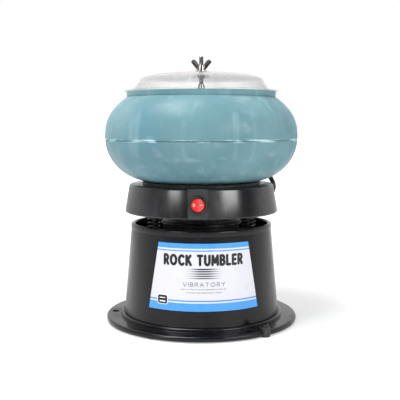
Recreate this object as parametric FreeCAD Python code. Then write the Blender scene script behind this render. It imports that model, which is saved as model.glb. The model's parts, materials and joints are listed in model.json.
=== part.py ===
import FreeCAD, Part

import os
from math import atan, cos, degrees, radians, sin, sqrt, tan

# A vibratory rock tumbler: a ring-shaped bowl with a clear lid sits on a motor unit that shakes
# on four coil springs above a conical base. Millimetres, +Z up, front of the machine towards -Y.
# The origin is on the floor, on the vertical axis that base, motor, bowl and stud share.

# --- base housing ---
FOOT_PROUD = 1.4
FLANGE_R = 123.8
FLANGE_TOP = 7.4
WALL_FOOT_R = 100.2
WALL_FOOT_Z = 11.6
RIM_R = 92.0
RIM_Z = 125.5
RIM_INNER_R = 86.8
RIM_DEPTH = 7.0
BASE_WALL = 3.2
BOLT_CIRCLE_R = 113.0
BOLT_HOLE_R = 4.5
BOLT_ANGLES = (60, 180, 300)
FOOT_ANGLES = (0, 120, 240)
FOOT_R = 8.0
FOOT_STUB_R = 3.0
BUMPER_ANGLE = -50.5
BUMPER_R = 6.4
BUMPER_H = 12.0
BUMPER_INSET = 3.8

# --- label on the front of the base ---
LABEL_BOTTOM = 31.0
LABEL_TOP = 110.8
LABEL_HALF_ANGLE_BOTTOM = 43.1
LABEL_HALF_ANGLE_TOP = 36.9
LABEL_TURN = 2.0
LABEL_THICK = 0.3

# --- spring suspension ---
SHELF_BOTTOM = 88.0
SHELF_THICK = 3.0
SHELF_R = 88.0
SHELF_BORE_R = 60.0
SHELF_SCREW_R = 82.0
SHELF_SCREW_ANGLES = (0, 90, 180, 270)
SHELF_POST_R = 6.0
SPRING_X = 62.6
SPRING_Y = 43.0
SPRING_OUTER_R = 6.0
SPRING_WIRE_R = 0.95
SPRING_COILS = 11
CUP_R = 8.0
CUP_BASE = 2.5
CUP_PEG_R = 3.9
CUP_PEG = 8.0

# --- drive housing: the ring that carries switch, motor and bowl ---
RING_BOTTOM = 140.2
RING_TOP = 176.5
RING_BOTTOM_R = 100.4
RING_TOP_R = 94.5
RING_WALL = 4.0
DECK_THICK = 4.0
PLATE_BOTTOM = 150.0
PLATE_THICK = 3.0
PLATE_R = 90.0
PLATE_FRONT_Y = -67.0
LEAD_WAY_Y = -58.0
LEAD_HOLE_Z = 137.0
PLATE_SCREW_R = 80.0
PLATE_SCREW_ANGLES = (50, 130, 230, 310)
SWITCH_Z = 157.5
SWITCH_PAD_W = 25.0
SWITCH_PAD_DEPTH = 1.6
SWITCH_THROW = 20.0
SWITCH_TURN = -2.3
ROCKER_R = 8.1
BEZEL_R = 11.4
LEAD_R = 0.9
TAB_X = 4.5
TAB_REACH = 27.0
CORD_EXIT_ANGLE = 62.0
CORD_EXIT_Z = 160.0
CORD_R = 3.3
RELIEF_REACH = 20.0
PLUG_X = 2.0
PLUG_Y = 184.0
PLUG_H = 18.0
PLUG_W = 25.0
PLUG_L = 34.0
BLADE_PITCH = 12.7

# --- screws, all with a 3.5 mm thread ---
SCREW_R = 1.7
PILOT_R = 1.75
CLEAR_R = 2.2
SCREW_HEAD_R = 3.8
SCREW_HEAD_H = 2.6

# --- motor ---
SHELL_R = 50.0
SHELL_WALL = 2.0
SHELL_BOTTOM = 88.0
SHELL_TOP = 124.0
BEAD_R = 53.0
TOP_BELL_TOP = 150.0
BOTTOM_BELL_BOTTOM = 74.0
BELL_WALL = 4.0
STACK_BOTTOM = 95.0
STACK_TOP = 118.0
ROTOR_R = 26.0
AIR_GAP = 0.5
SHAFT_R = 4.0
SHAFT_BOTTOM = 57.0
SHAFT_TOP = 165.0
BEARING_R = 11.0
BEARING_H = 7.0
WEIGHT_R = 38.0
WEIGHT_THICK = 8.0
RUN_GAP = 0.05
THROUGH_BOLT_CIRCLE_R = 44.0
THROUGH_BOLT_ANGLES = (0, 90, 180, 270)
MOTOR_SCREW_CIRCLE_R = 34.0
UPPER_WEIGHT_Z = 156.0
LOWER_WEIGHT_Z = 60.0
LOWER_WEIGHT_LEAD = 90.0
DIAGONALS = (45, 135, 225, 315)

# --- bowl, lid and centre stud ---
SEAT_R = 77.0
SEAT_TOP = 180.0
BOWL_WALL = 6.0
SEAM_Z = 234.0
NECK_Z = 289.0
COLLAR_TOP = 297.0
POST_TOP = 296.0
POST_BORE_R = 3.45
SEAT_SCREW_CIRCLE_R = 60.0
STUD_R = 3.15
STUD_BOTTOM = 166.5
STUD_TOP = 344.0
NUT_BORE_R = 3.25
LID_FLANGE_R = 101.3
LID_TOP = 324.0
LID_THICK = 1.8
WING_NUT_Z = 326.7
WING_TIP_Z = 340.0
WING_SPAN = 27.9

SMALL = 0.05
Z_AXIS = FreeCAD.Vector(0, 0, 1)
ORIGIN = FreeCAD.Vector(0, 0, 0)


# ---------------------------------------------------------------- drawing helpers
def xyz(x, y, z):
    return FreeCAD.Vector(x, y, z)


def polar(radius, angle, z):
    return xyz(radius * cos(radians(angle)), radius * sin(radians(angle)), z)


def corner_arc(before, here, after, radius):
    """Start, middle and end of the arc that rounds one corner."""
    u = (before - here).normalize()
    v = (after - here).normalize()
    half = u.getAngle(v) / 2
    bisector = (u + v).normalize()
    reach = radius / tan(half)
    return here + u * reach, here + bisector * (radius / sin(half) - radius), here + v * reach


def rounded_wire(corners, place):
    """A closed outline through (a, b) corners; a third number rounds that corner."""
    points = [place(c[0], c[1]) for c in corners]
    joints = []
    for i, corner in enumerate(corners):
        here = points[i]
        if len(corner) == 3:
            joints.append(corner_arc(points[i - 1], here, points[(i + 1) % len(points)], corner[2]))
        else:
            joints.append((here, None, here))
    edges = []
    for i, (start, middle, end) in enumerate(joints):
        if middle is not None:
            edges.append(Part.Arc(start, middle, end).toShape())
        following = joints[(i + 1) % len(joints)][0]
        if end.distanceToPoint(following) > 1e-6:
            edges.append(Part.makeLine(end, following))
    return Part.Wire(edges)


def side(a, b):
    return xyz(a, 0, b)


def flat(a, b):
    return xyz(a, b, 0)


def lathe(corners):
    """Turn an outline of (radius, height) corners about the vertical axis."""
    return turn(rounded_wire(corners, side))


def turn(wire):
    return Part.Face(wire).revolve(ORIGIN, Z_AXIS, 360)


def slab(corners, z, thick):
    """Stand an outline of (x, y) corners up from height z."""
    return Part.Face(rounded_wire(corners, flat)).extrude(xyz(0, 0, thick)).translated(xyz(0, 0, z))


def disc(radius, z, thick, x=0.0, y=0.0):
    return Part.makeCylinder(radius, thick, xyz(x, y, z))


def tube(outer, inner, z, height):
    return disc(outer, z, height).cut(disc(inner, z - 1, height + 2))


def box(x0, x1, y0, y1, z0, z1):
    return Part.makeBox(x1 - x0, y1 - y0, z1 - z0, xyz(x0, y0, z0))


def join(shapes):
    first, *others = shapes
    return first.fuse(others).removeSplitter() if others else first


def group(shapes):
    return Part.makeCompound(shapes)


def spun(shape, angle):
    return shape.rotated(ORIGIN, Z_AXIS, angle)


def around(shape, angles):
    return [spun(shape, angle) for angle in angles]


def drills(radius, z, depth, circle_r, angles):
    """Upright cylinders on a circle, for cutting holes."""
    return around(disc(radius, z, depth, circle_r), angles)


def hexagon(across_flats, z, height):
    corner_r = across_flats / sqrt(3)
    return slab([tuple(polar(corner_r, 60 * i, 0))[:2] for i in range(6)], z, height)


def pan_screw(shank_r, length, head_r, head_h):
    """A cross-slot screw that hangs from z = 0, its head above."""
    head = lathe([(0, 0), (head_r, 0), (head_r, head_h, head_h * 0.6), (0, head_h)])
    slot_w, slot_l, slot_d = head_r * 0.28, head_r * 1.1, head_h * 0.5
    slots = []
    for angle in (0, 90):
        bar = box(-slot_l / 2, slot_l / 2, -slot_w / 2, slot_w / 2, head_h - slot_d, head_h + 1)
        slots.append(spun(bar, angle))
    point = [(0, -length), (shank_r * 0.6, -length), (shank_r, -length + shank_r)]
    shank = lathe(point + [(shank_r, SMALL), (0, SMALL)])
    return join([head, shank]).cut(group(slots))


# ---------------------------------------------------------------- shared geometry
def base_wall_r(z):
    """Outer radius of the conical wall at height z."""
    slope = (WALL_FOOT_R - RIM_R + 0.8) / (RIM_Z - WALL_FOOT_Z)
    return WALL_FOOT_R - slope * (z - WALL_FOOT_Z)


def ring_r(z):
    """Outer radius of the drive housing at height z."""
    return RING_BOTTOM_R - (RING_BOTTOM_R - RING_TOP_R) * (z - RING_BOTTOM) / (RING_TOP - RING_BOTTOM)


def spring_places(z):
    return [xyz(sx * SPRING_X, sy * SPRING_Y, z) for sx in (1, -1) for sy in (1, -1)]


RING_TILT = degrees(atan((RING_BOTTOM_R - RING_TOP_R) / (RING_TOP - RING_BOTTOM)))
SHELF_TOP = SHELF_BOTTOM + SHELF_THICK
SPRING_BOTTOM = SHELF_TOP + CUP_BASE
SPRING_TOP = PLATE_BOTTOM - CUP_BASE
PLATE_TOP = PLATE_BOTTOM + PLATE_THICK
DECK_BOTTOM = RING_TOP - DECK_THICK


def on_switch_face(shape):
    """Place a shape drawn about +Z on the sloping pad, its Z pointing out of the housing."""
    out = xyz(0, -cos(radians(RING_TILT)), sin(radians(RING_TILT)))
    turned = shape.rotated(ORIGIN, xyz(1, 0, 0), 90 - RING_TILT)
    wall = xyz(0, -ring_r(SWITCH_Z), SWITCH_Z)
    return spun(turned.translated(wall - out * SWITCH_PAD_DEPTH), SWITCH_TURN)


# ---------------------------------------------------------------- base
def base_housing():
    rim_inner_z = RIM_Z - RIM_DEPTH
    outline = [
        (base_wall_r(FOOT_PROUD) - BASE_WALL, FOOT_PROUD),
        (FLANGE_R - 0.8, FOOT_PROUD),
        (FLANGE_R, FOOT_PROUD + 0.8),
        (FLANGE_R, FLANGE_TOP, 2.6),
        (105.2, FLANGE_TOP, 0.5),
        (105.2, WALL_FOOT_Z, 2.3),
        (WALL_FOOT_R + 0.7, WALL_FOOT_Z, 1.0),
        (WALL_FOOT_R + 0.7, WALL_FOOT_Z - 2),
        (WALL_FOOT_R, WALL_FOOT_Z - 2),
        (base_wall_r(rim_inner_z), rim_inner_z, 3.0),
        (RIM_R, RIM_Z - 5, 2.0),
        (RIM_R, RIM_Z, 2.0),
        (RIM_INNER_R, RIM_Z, 1.4),
        (RIM_INNER_R, rim_inner_z),
        (base_wall_r(rim_inner_z - 3) - BASE_WALL, rim_inner_z - 3),
    ]
    shell = lathe(outline)
    post = lathe([(0, 30), (4, 30), (SHELF_POST_R, 38), (SHELF_POST_R, SHELF_BOTTOM), (0, SHELF_BOTTOM)])
    posts = around(post.translated(xyz(SHELF_SCREW_R, 0, 0)), SHELF_SCREW_ANGLES)
    webs = around(box(SHELF_SCREW_R, WALL_FOOT_R, -1.6, 1.6, 34, SHELF_BOTTOM), SHELF_SCREW_ANGLES)
    inside = lathe([(0, 20), (base_wall_r(20) - 1, 20), (base_wall_r(100) - 1, 100), (0, 100)])
    supports = join(posts + webs).common(inside)
    pilots = drills(PILOT_R, SHELF_BOTTOM - 15, 16, SHELF_SCREW_R, SHELF_SCREW_ANGLES)
    bolt_holes = drills(BOLT_HOLE_R, 0, 12, BOLT_CIRCLE_R, BOLT_ANGLES)
    foot_pockets = drills(FOOT_STUB_R + SMALL, 0, 6, BOLT_CIRCLE_R, FOOT_ANGLES)
    bumper_notch = drills(BUMPER_R + 0.1, 0, 12, FLANGE_R - BUMPER_INSET, [BUMPER_ANGLE])
    return join([shell, supports]).cut(group(pilots + bolt_holes + foot_pockets + bumper_notch))


def rubber_feet():
    foot = lathe([
        (0, 0), (FOOT_R, 0, 0.8), (FOOT_R, FOOT_PROUD), (FOOT_STUB_R, FOOT_PROUD),
        (FOOT_STUB_R, 5.6, 0.6), (0, 5.6),
    ])
    return group(around(foot.translated(xyz(BOLT_CIRCLE_R, 0, 0)), FOOT_ANGLES))


def edge_bumper():
    bore = SCREW_R + 0.1
    body = lathe([(bore, 0), (BUMPER_R, 0, 0.8), (BUMPER_R, BUMPER_H, 1.6), (bore, BUMPER_H)])
    return body.translated(polar(FLANGE_R - BUMPER_INSET, BUMPER_ANGLE, 0))


def edge_bumper_screw():
    screw = pan_screw(SCREW_R, 9.0, 4.2, 2.8)
    return screw.translated(polar(FLANGE_R - BUMPER_INSET, BUMPER_ANGLE, BUMPER_H))


def base_label():
    """A thin curved sheet on the front of the cone, wider at its foot."""
    band = lathe([
        (base_wall_r(LABEL_BOTTOM), LABEL_BOTTOM),
        (base_wall_r(LABEL_BOTTOM) + LABEL_THICK, LABEL_BOTTOM),
        (base_wall_r(LABEL_TOP) + LABEL_THICK, LABEL_TOP),
        (base_wall_r(LABEL_TOP), LABEL_TOP),
    ])
    half_bottom = base_wall_r(LABEL_BOTTOM) * sin(radians(LABEL_HALF_ANGLE_BOTTOM))
    half_top = base_wall_r(LABEL_TOP) * sin(radians(LABEL_HALF_ANGLE_TOP))
    corners = [
        xyz(-half_bottom, 0, LABEL_BOTTOM), xyz(half_bottom, 0, LABEL_BOTTOM),
        xyz(half_top, 0, LABEL_TOP), xyz(-half_top, 0, LABEL_TOP),
    ]
    window = Part.Face(Part.makePolygon(corners + corners[:1])).extrude(xyz(0, -WALL_FOOT_R - 5, 0))
    return spun(band.common(window), LABEL_TURN)


def spring_shelf():
    plate = tube(SHELF_R, SHELF_BORE_R, SHELF_BOTTOM, SHELF_THICK)
    holes = drills(CLEAR_R, SHELF_BOTTOM - 1, 6, SHELF_SCREW_R, SHELF_SCREW_ANGLES)
    cup_holes = [disc(2.6, SHELF_BOTTOM - 1, 6, p.x, p.y) for p in spring_places(0)]
    return plate.cut(group(holes + cup_holes))


def shelf_screws():
    screw = pan_screw(SCREW_R, 12.0, SCREW_HEAD_R, SCREW_HEAD_H).translated(xyz(SHELF_SCREW_R, 0, SHELF_TOP))
    return group(around(screw, SHELF_SCREW_ANGLES))


def spring_cup():
    """A seat with a peg that fills one end of a spring, and a stub for its plate."""
    return lathe([
        (0, -2.2), (2.5, -2.2), (2.5, 0), (CUP_R, 0), (CUP_R, CUP_BASE, 0.8),
        (CUP_PEG_R, CUP_BASE), (CUP_PEG_R, CUP_BASE + CUP_PEG, 1.2), (0, CUP_BASE + CUP_PEG),
    ])


def lower_spring_cups():
    return group([spring_cup().translated(place) for place in spring_places(SHELF_TOP)])


def upper_spring_cups():
    cup = spring_cup().rotated(ORIGIN, xyz(1, 0, 0), 180)
    return group([cup.translated(place) for place in spring_places(PLATE_BOTTOM)])


def isolator_springs():
    """Four compression springs; the ends stop a wire's radius short of their seats."""
    coil_r = SPRING_OUTER_R - SPRING_WIRE_R
    height = SPRING_TOP - SPRING_BOTTOM - 2 * SPRING_WIRE_R - 2 * SMALL
    path = Part.makeHelix(height / SPRING_COILS, height, coil_r)
    section = Part.Wire(Part.makeCircle(SPRING_WIRE_R, xyz(coil_r, 0, 0), xyz(0, 1, 0)))
    coil = Part.Wire(path).makePipeShell([section], True, True)
    start = SPRING_BOTTOM + SPRING_WIRE_R + SMALL
    return group([coil.translated(place) for place in spring_places(start)])


# ---------------------------------------------------------------- drive housing and switch
def drive_housing():
    inner_bottom = RING_BOTTOM_R - RING_WALL
    inner_top = ring_r(DECK_BOTTOM) - RING_WALL
    shell = lathe([
        (inner_bottom, RING_BOTTOM),
        (RING_BOTTOM_R, RING_BOTTOM, 0.9),
        (RING_TOP_R, RING_TOP, 3.2),
        (SEAT_R + 3, RING_TOP, 0.5),
        (SEAT_R + 2, RING_TOP - 1, 0.5),
        (0, RING_TOP - 1),
        (0, DECK_BOTTOM),
        (inner_top, DECK_BOTTOM, 2.0),
    ])
    boss_h = DECK_BOTTOM - PLATE_TOP
    bosses = drills(5, PLATE_TOP, boss_h + 1, PLATE_SCREW_R, PLATE_SCREW_ANGLES)
    pilots = drills(PILOT_R, PLATE_TOP - 1, 13, PLATE_SCREW_R, PLATE_SCREW_ANGLES)
    half = SWITCH_PAD_W / 2
    pad = on_switch_face(box(-half, half, -30, 30, 0, 12))
    switch_hole = on_switch_face(disc(10.05, -8, 20))
    cord_hole = Part.makeCylinder(5.55, 30, polar(ring_r(CORD_EXIT_Z) - 20, CORD_EXIT_ANGLE, CORD_EXIT_Z),
                                  polar(1, CORD_EXIT_ANGLE, 0))
    seat_holes = drills(PILOT_R, DECK_BOTTOM - 1, 8, SEAT_SCREW_CIRCLE_R, DIAGONALS)
    cuts = pilots + seat_holes + [pad, switch_hole, cord_hole, disc(NUT_BORE_R, DECK_BOTTOM - 1, 8)]
    return join([shell] + bosses).cut(group(cuts))


def motor_plate():
    round_plate = disc(PLATE_R, PLATE_BOTTOM, PLATE_THICK)
    front = box(-PLATE_R, PLATE_R, -2 * PLATE_R, PLATE_FRONT_Y, PLATE_BOTTOM - 1, PLATE_TOP + 1)
    screws = drills(CLEAR_R, PLATE_BOTTOM - 1, 6, PLATE_SCREW_R, PLATE_SCREW_ANGLES)
    cups = [disc(2.6, PLATE_BOTTOM - 1, 6, p.x, p.y) for p in spring_places(0)]
    motor = drills(CLEAR_R, PLATE_BOTTOM - 1, 6, MOTOR_SCREW_CIRCLE_R, DIAGONALS)
    wires = spun(disc(5, PLATE_BOTTOM - 1, 6, 0, LEAD_WAY_Y), SWITCH_TURN)
    shaft_way = disc(14, PLATE_BOTTOM - 1, 6)
    return round_plate.cut(group([front, shaft_way, wires] + screws + cups + motor))


def motor_plate_screws():
    screw = pan_screw(SCREW_R, 12.0, SCREW_HEAD_R, SCREW_HEAD_H).rotated(ORIGIN, xyz(1, 0, 0), 180)
    return group(around(screw.translated(xyz(PLATE_SCREW_R, 0, PLATE_BOTTOM)), PLATE_SCREW_ANGLES))


def switch_body():
    body = lathe([
        (0, -20), (9.9, -20, 1.0), (9.9, 0), (BEZEL_R, 0, 0.3), (BEZEL_R, 1.8, 1.2),
        (ROCKER_R + 0.7, 1.8, 0.4), (ROCKER_R + 0.7, -7), (0, -7),
    ])
    tabs = [box(x - 0.4, x + 0.4, -3.1, 3.1, -TAB_REACH, -19.5) for x in (-TAB_X, TAB_X)]
    return on_switch_face(join([body] + tabs))


def switch_rocker():
    """A round rocker with a shallow V top, resting with its left half pressed in."""
    half_throw = SWITCH_THROW / 2
    radius, centre_z = ROCKER_R, 1.2
    lift = radius * tan(radians(half_throw))
    outline = [
        (-radius - 1, -3.0), (radius + 1, -3.0), (radius + 1, centre_z + lift * (radius + 1) / radius),
        (0, centre_z), (-radius - 1, centre_z + lift * (radius + 1) / radius),
    ]
    prism = Part.Face(rounded_wire(outline, side)).extrude(xyz(0, 40, 0)).translated(xyz(0, -20, 0))
    rocker = prism.common(disc(radius, -10, 30))
    pivot = xyz(0, 0, -1)
    return on_switch_face(rocker.rotated(pivot, xyz(0, 1, 0), -half_throw))


def switch_leads():
    """Two insulated wires from the switch tabs down through the motor plate."""
    inward = xyz(0, cos(radians(RING_TILT)), -sin(radians(RING_TILT)))
    upward = xyz(0, sin(radians(RING_TILT)), cos(radians(RING_TILT)))
    face = xyz(0, -ring_r(SWITCH_Z), SWITCH_Z) + inward * SWITCH_PAD_DEPTH
    leads = []
    for sign in (-1, 1):
        tab = face + inward * (TAB_REACH + LEAD_R + 0.3) + xyz(sign * TAB_X, 0, 0)
        x = sign * 1.8
        rise = [tab, tab + upward * 2.5]
        over = [xyz(x * 1.5, -66.0, 157.6), xyz(x, -62.0, 157.6), xyz(x, LEAD_WAY_Y - 0.8, 155.0)]
        down = [xyz(x, LEAD_WAY_Y, 150.0), xyz(x, LEAD_WAY_Y, 144.0)]
        into_motor = [xyz(x, -53.0, LEAD_HOLE_Z), xyz(x, -49.0, LEAD_HOLE_Z), xyz(x, -45.0, LEAD_HOLE_Z)]
        leads.append(cable(rise + over + down + into_motor, LEAD_R))
    return spun(group(leads), SWITCH_TURN)


def cable(points, radius):
    """A round cable of one smooth curve through points."""
    curve = Part.BSplineCurve()
    curve.interpolate(points)
    heading = curve.tangent(curve.FirstParameter)[0]
    section = Part.Wire(Part.makeCircle(radius, points[0], heading))
    return Part.Wire(curve.toShape()).makePipeShell([section], True, False)


def cord_strain_relief():
    bush = lathe([
        (CORD_R + SMALL, -4), (7, -4, 0.6), (7, -1.6), (5.5, -1.6), (5.5, 5.6), (8, 5.6),
        (8, 7.4, 0.8), (5.8, 8), (4.4, RELIEF_REACH, 0.8), (CORD_R + SMALL, RELIEF_REACH),
    ])
    outward = bush.rotated(ORIGIN, xyz(0, 1, 0), 90).rotated(ORIGIN, Z_AXIS, CORD_EXIT_ANGLE)
    return outward.translated(polar(ring_r(CORD_EXIT_Z) - RING_WALL, CORD_EXIT_ANGLE, CORD_EXIT_Z))


# ---------------------------------------------------------------- power cord
def power_cord():
    """Out of the strain relief, up behind the bowl, round to the right, down to the floor and plug."""
    outward = polar(1, CORD_EXIT_ANGLE, 0)
    mouth = polar(ring_r(CORD_EXIT_Z) - RING_WALL + RELIEF_REACH, CORD_EXIT_ANGLE, CORD_EXIT_Z)
    floor = CORD_R + 0.4
    loop = [(66, 112, 168), (77, 107, 182), (86, 90, 188), (95, 69, 183), (101, 55, 169), (97, 66, 154)]
    drop = [(85, 91, 142), (70, 112, 127), (56, 132, 96), (47, 146, 50), (38, 154, 20), (26, 157, 7)]
    lying = [(8, 158, floor), (-14, 158, floor), (-40, 156, floor), (-70, 154, floor), (-88, 165, floor)]
    end = [(-74, 180, floor), (-50, PLUG_Y, floor + 1), (-28, PLUG_Y, 7), (-14, PLUG_Y, PLUG_H / 2)]
    end += [(-6, PLUG_Y, PLUG_H / 2), (PLUG_X - 0.3, PLUG_Y, PLUG_H / 2)]
    straight = [mouth - outward * (RELIEF_REACH + 6), mouth - outward * 9, mouth, mouth + outward * 3]
    return cable(straight + [xyz(*point) for point in loop + drop + lying + end], CORD_R)


def cord_plug():
    """A moulded three-pin plug lying on the floor, its blades pointing to +X."""
    half = PLUG_W / 2
    outline = [
        (0, 4.4), (0, -4.4), (10, -6.2, 3), (14, -half, 3), (PLUG_L, -half, 2.5),
        (PLUG_L, half, 2.5), (14, half, 3), (10, 6.2, 3),
    ]
    body = slab(outline, 0.0, PLUG_H)
    body = body.makeFillet(2.2, plug_long_edges(body))
    return body.translated(xyz(PLUG_X, PLUG_Y, 0)).cut(group(plug_blade_solids()))


def plug_long_edges(body):
    """The top and bottom edges along the plug's grip."""
    return [e for e in body.Edges if e.Length > 15 and abs(e.BoundBox.ZLength) < 0.1]


def plug_blade_solids():
    root = PLUG_X + PLUG_L - 6
    tip = root + 21
    places = (PLUG_Y - BLADE_PITCH / 2, PLUG_Y + BLADE_PITCH / 2)
    blades = [box(root, tip, y - 0.75, y + 0.75, 3.8, 10.2) for y in places]
    ground = Part.makeCylinder(2.4, 23, xyz(root, PLUG_Y, 13.6), xyz(1, 0, 0))
    return blades + [ground]


def plug_blades():
    return group(plug_blade_solids())


# ---------------------------------------------------------------- motor
def motor_shell():
    return tube(SHELL_R, SHELL_R - SHELL_WALL, SHELL_BOTTOM, SHELL_TOP - SHELL_BOTTOM)


def motor_bell(rim_z, reach, beaded):
    """An upright end bell: its rim is at rim_z and its outer face at rim_z + reach."""
    inner_r = SHELL_R - SHELL_WALL
    boss_bottom = reach - BEARING_H - 4
    plain_rim = [(SHELL_R, 0, 0.5)]
    beaded_rim = [(BEAD_R, 0, 1.4), (BEAD_R, 3.6, 1.6), (SHELL_R, 4.2, 1.0)]
    outline = [(inner_r - 2, -4), (inner_r - SMALL, -4), (inner_r - SMALL, 0)]
    outline += beaded_rim if beaded else plain_rim
    outline += [
        (SHELL_R - 5, reach, 4.5),
        (BEARING_R - 2, reach, 0.5), (BEARING_R - 2, reach - 3), (BEARING_R, reach - 3),
        (BEARING_R, boss_bottom), (BEARING_R + 4, boss_bottom), (BEARING_R + 4, reach - BELL_WALL),
        (SHELL_R - 9, reach - BELL_WALL, 3.0),
        (inner_r - 4, 4.2, 1.0), (inner_r - 2, 0),
    ]
    return lathe(outline).translated(xyz(0, 0, rim_z))


def motor_top_bell():
    bell = motor_bell(SHELL_TOP, TOP_BELL_TOP - SHELL_TOP, True)
    holes = drills(PILOT_R, TOP_BELL_TOP - 9, 10, MOTOR_SCREW_CIRCLE_R, DIAGONALS)
    lead_way = spun(Part.makeCylinder(4.0, 14, xyz(0, -56, LEAD_HOLE_Z), xyz(0, 1, 0)), SWITCH_TURN)
    bolts = drills(CLEAR_R, SHELL_TOP - 6, 14, THROUGH_BOLT_CIRCLE_R, THROUGH_BOLT_ANGLES)
    posts = drills(4.0, TOP_BELL_TOP - 10, 10 - SMALL, MOTOR_SCREW_CIRCLE_R, DIAGONALS)
    return join([bell] + posts).cut(group(holes + bolts + [lead_way]))


def motor_bottom_bell():
    bell = motor_bell(0, SHELL_BOTTOM - BOTTOM_BELL_BOTTOM, False)
    flipped = bell.rotated(ORIGIN, xyz(1, 0, 0), 180).translated(xyz(0, 0, SHELL_BOTTOM))
    slot = box(19, 38, -2.2, 2.2, BOTTOM_BELL_BOTTOM - 1, BOTTOM_BELL_BOTTOM + 6)
    vents = around(spun(slot, 22.5), range(0, 360, 45))
    bolts = drills(CLEAR_R, BOTTOM_BELL_BOTTOM - 1, 24, THROUGH_BOLT_CIRCLE_R, THROUGH_BOLT_ANGLES)
    return flipped.cut(group(bolts + vents))


def motor_through_bolts():
    bolt = pan_screw(2.0, 52.0, 3.4, 2.6).rotated(ORIGIN, xyz(1, 0, 0), 180)
    placed = bolt.translated(xyz(THROUGH_BOLT_CIRCLE_R, 0, BOTTOM_BELL_BOTTOM))
    return group(around(placed, THROUGH_BOLT_ANGLES))


def motor_mount_screws():
    screw = pan_screw(SCREW_R, 10.0, 3.6, 2.2).translated(xyz(MOTOR_SCREW_CIRCLE_R, 0, PLATE_TOP))
    return group(around(screw, DIAGONALS))


def stator_core():
    """A stack of thin steel rings with inward teeth; bolts pass through its rim."""
    outer = SHELL_R - SHELL_WALL - SMALL
    bore = ROTOR_R + AIR_GAP
    stack = tube(outer, 38, STACK_BOTTOM, STACK_TOP - STACK_BOTTOM)
    tooth = box(bore - 1, 40, -3.0, 3.0, STACK_BOTTOM, STACK_TOP)
    tip = box(bore - 1, bore + 2.5, -5.2, 5.2, STACK_BOTTOM, STACK_TOP)
    teeth = around(join([tooth, tip]), range(0, 360, 30))
    holes = drills(CLEAR_R, STACK_BOTTOM - 1, 40, THROUGH_BOLT_CIRCLE_R, THROUGH_BOLT_ANGLES)
    return join([stack] + teeth).cut(group(holes + [disc(bore, STACK_BOTTOM - 1, 40)]))


def stator_windings():
    """The end turns: one bundle above the stack and one below."""
    rings = []
    for low, high in ((STACK_TOP, STACK_TOP + 5.5), (STACK_BOTTOM - 5.5, STACK_BOTTOM)):
        rings.append(lathe([(29, low, 1.5), (37.5, low, 1.5), (37.5, high, 2.4), (29, high, 2.4)]))
    return group(rings)


def bearing(z):
    outline = [
        (SHAFT_R + RUN_GAP, 0, 0.3), (SHAFT_R + 3, 0), (SHAFT_R + 3, 0.5), (BEARING_R - 2.5, 0.5),
        (BEARING_R - 2.5, 0), (BEARING_R - SMALL, 0, 0.4), (BEARING_R - SMALL, BEARING_H, 0.4),
        (BEARING_R - 2.5, BEARING_H), (BEARING_R - 2.5, BEARING_H - 0.5), (SHAFT_R + 3, BEARING_H - 0.5),
        (SHAFT_R + 3, BEARING_H), (SHAFT_R + RUN_GAP, BEARING_H, 0.3),
    ]
    return lathe(outline).translated(xyz(0, 0, z))


def motor_bearings():
    return group([bearing(TOP_BELL_TOP - 3 - BEARING_H), bearing(BOTTOM_BELL_BOTTOM + 3)])


def motor_shaft():
    return lathe([(0, SHAFT_BOTTOM), (SHAFT_R, SHAFT_BOTTOM, 0.6), (SHAFT_R, SHAFT_TOP, 0.6), (0, SHAFT_TOP)])


def rotor_core():
    """Squirrel cage: a laminated drum with end rings, pressed on the shaft."""
    drum = tube(ROTOR_R, SHAFT_R, STACK_BOTTOM + 0.5, STACK_TOP - STACK_BOTTOM - 1)
    top = tube(ROTOR_R - 1.5, 15, STACK_TOP - 0.6, 5.0)
    bottom = tube(ROTOR_R - 1.5, 15, STACK_BOTTOM - 4.4, 5.0)
    return join([drum, top, bottom])


def cooling_fan():
    """A flat disc fan with slanted blades, just above the upper windings."""
    low = STACK_TOP + 7.5
    hub = tube(9, SHAFT_R, low, 7)
    web = tube(38, 8, low, 1.4)
    blades = []
    for angle in range(0, 360, 40):
        blade = box(10, 37, -0.8, 0.8, low + 1, low + 6.5).rotated(xyz(22, 0, 0), Z_AXIS, 18)
        blades.append(spun(blade, angle))
    return join([hub, web] + blades)


def eccentric_weight(z):
    """A half disc of steel with a hub, clamped on the shaft by a set screw."""
    half = disc(WEIGHT_R, z, WEIGHT_THICK).common(box(-WEIGHT_R, WEIGHT_R, 0, WEIGHT_R, z - 1, z + 20))
    hub = disc(10, z, WEIGHT_THICK)
    bore = disc(SHAFT_R, z - 1, WEIGHT_THICK + 2)
    screw_hole = Part.makeCylinder(2.0 + SMALL, 8, xyz(0, -11, z + WEIGHT_THICK / 2), xyz(0, 1, 0))
    return join([half, hub]).cut(group([bore, screw_hole]))


def upper_weight():
    return eccentric_weight(UPPER_WEIGHT_Z)


def lower_weight():
    return spun(eccentric_weight(LOWER_WEIGHT_Z), LOWER_WEIGHT_LEAD)


def weight_set_screws():
    length = 10 - SHAFT_R - SMALL
    body = disc(2.0, 0, length).cut(hexagon(2.0, length - 2.2, 4))
    lying = body.rotated(ORIGIN, xyz(1, 0, 0), 90).translated(xyz(0, -SHAFT_R - SMALL, WEIGHT_THICK / 2))
    upper = lying.translated(xyz(0, 0, UPPER_WEIGHT_Z))
    return group([upper, spun(lying.translated(xyz(0, 0, LOWER_WEIGHT_Z)), LOWER_WEIGHT_LEAD)])


def shaft_snap_rings():
    """C-rings that keep the shaft between the two bearings."""
    rings = []
    for z in (TOP_BELL_TOP - 3 - BEARING_H - 2.2, BOTTOM_BELL_BOTTOM + 3 + BEARING_H + 1.0):
        ring = tube(6.4, SHAFT_R, z, 1.2).cut(box(0, 10, -2.2, 2.2, z - 1, z + 3))
        rings.append(ring)
    return group(rings)


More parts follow.
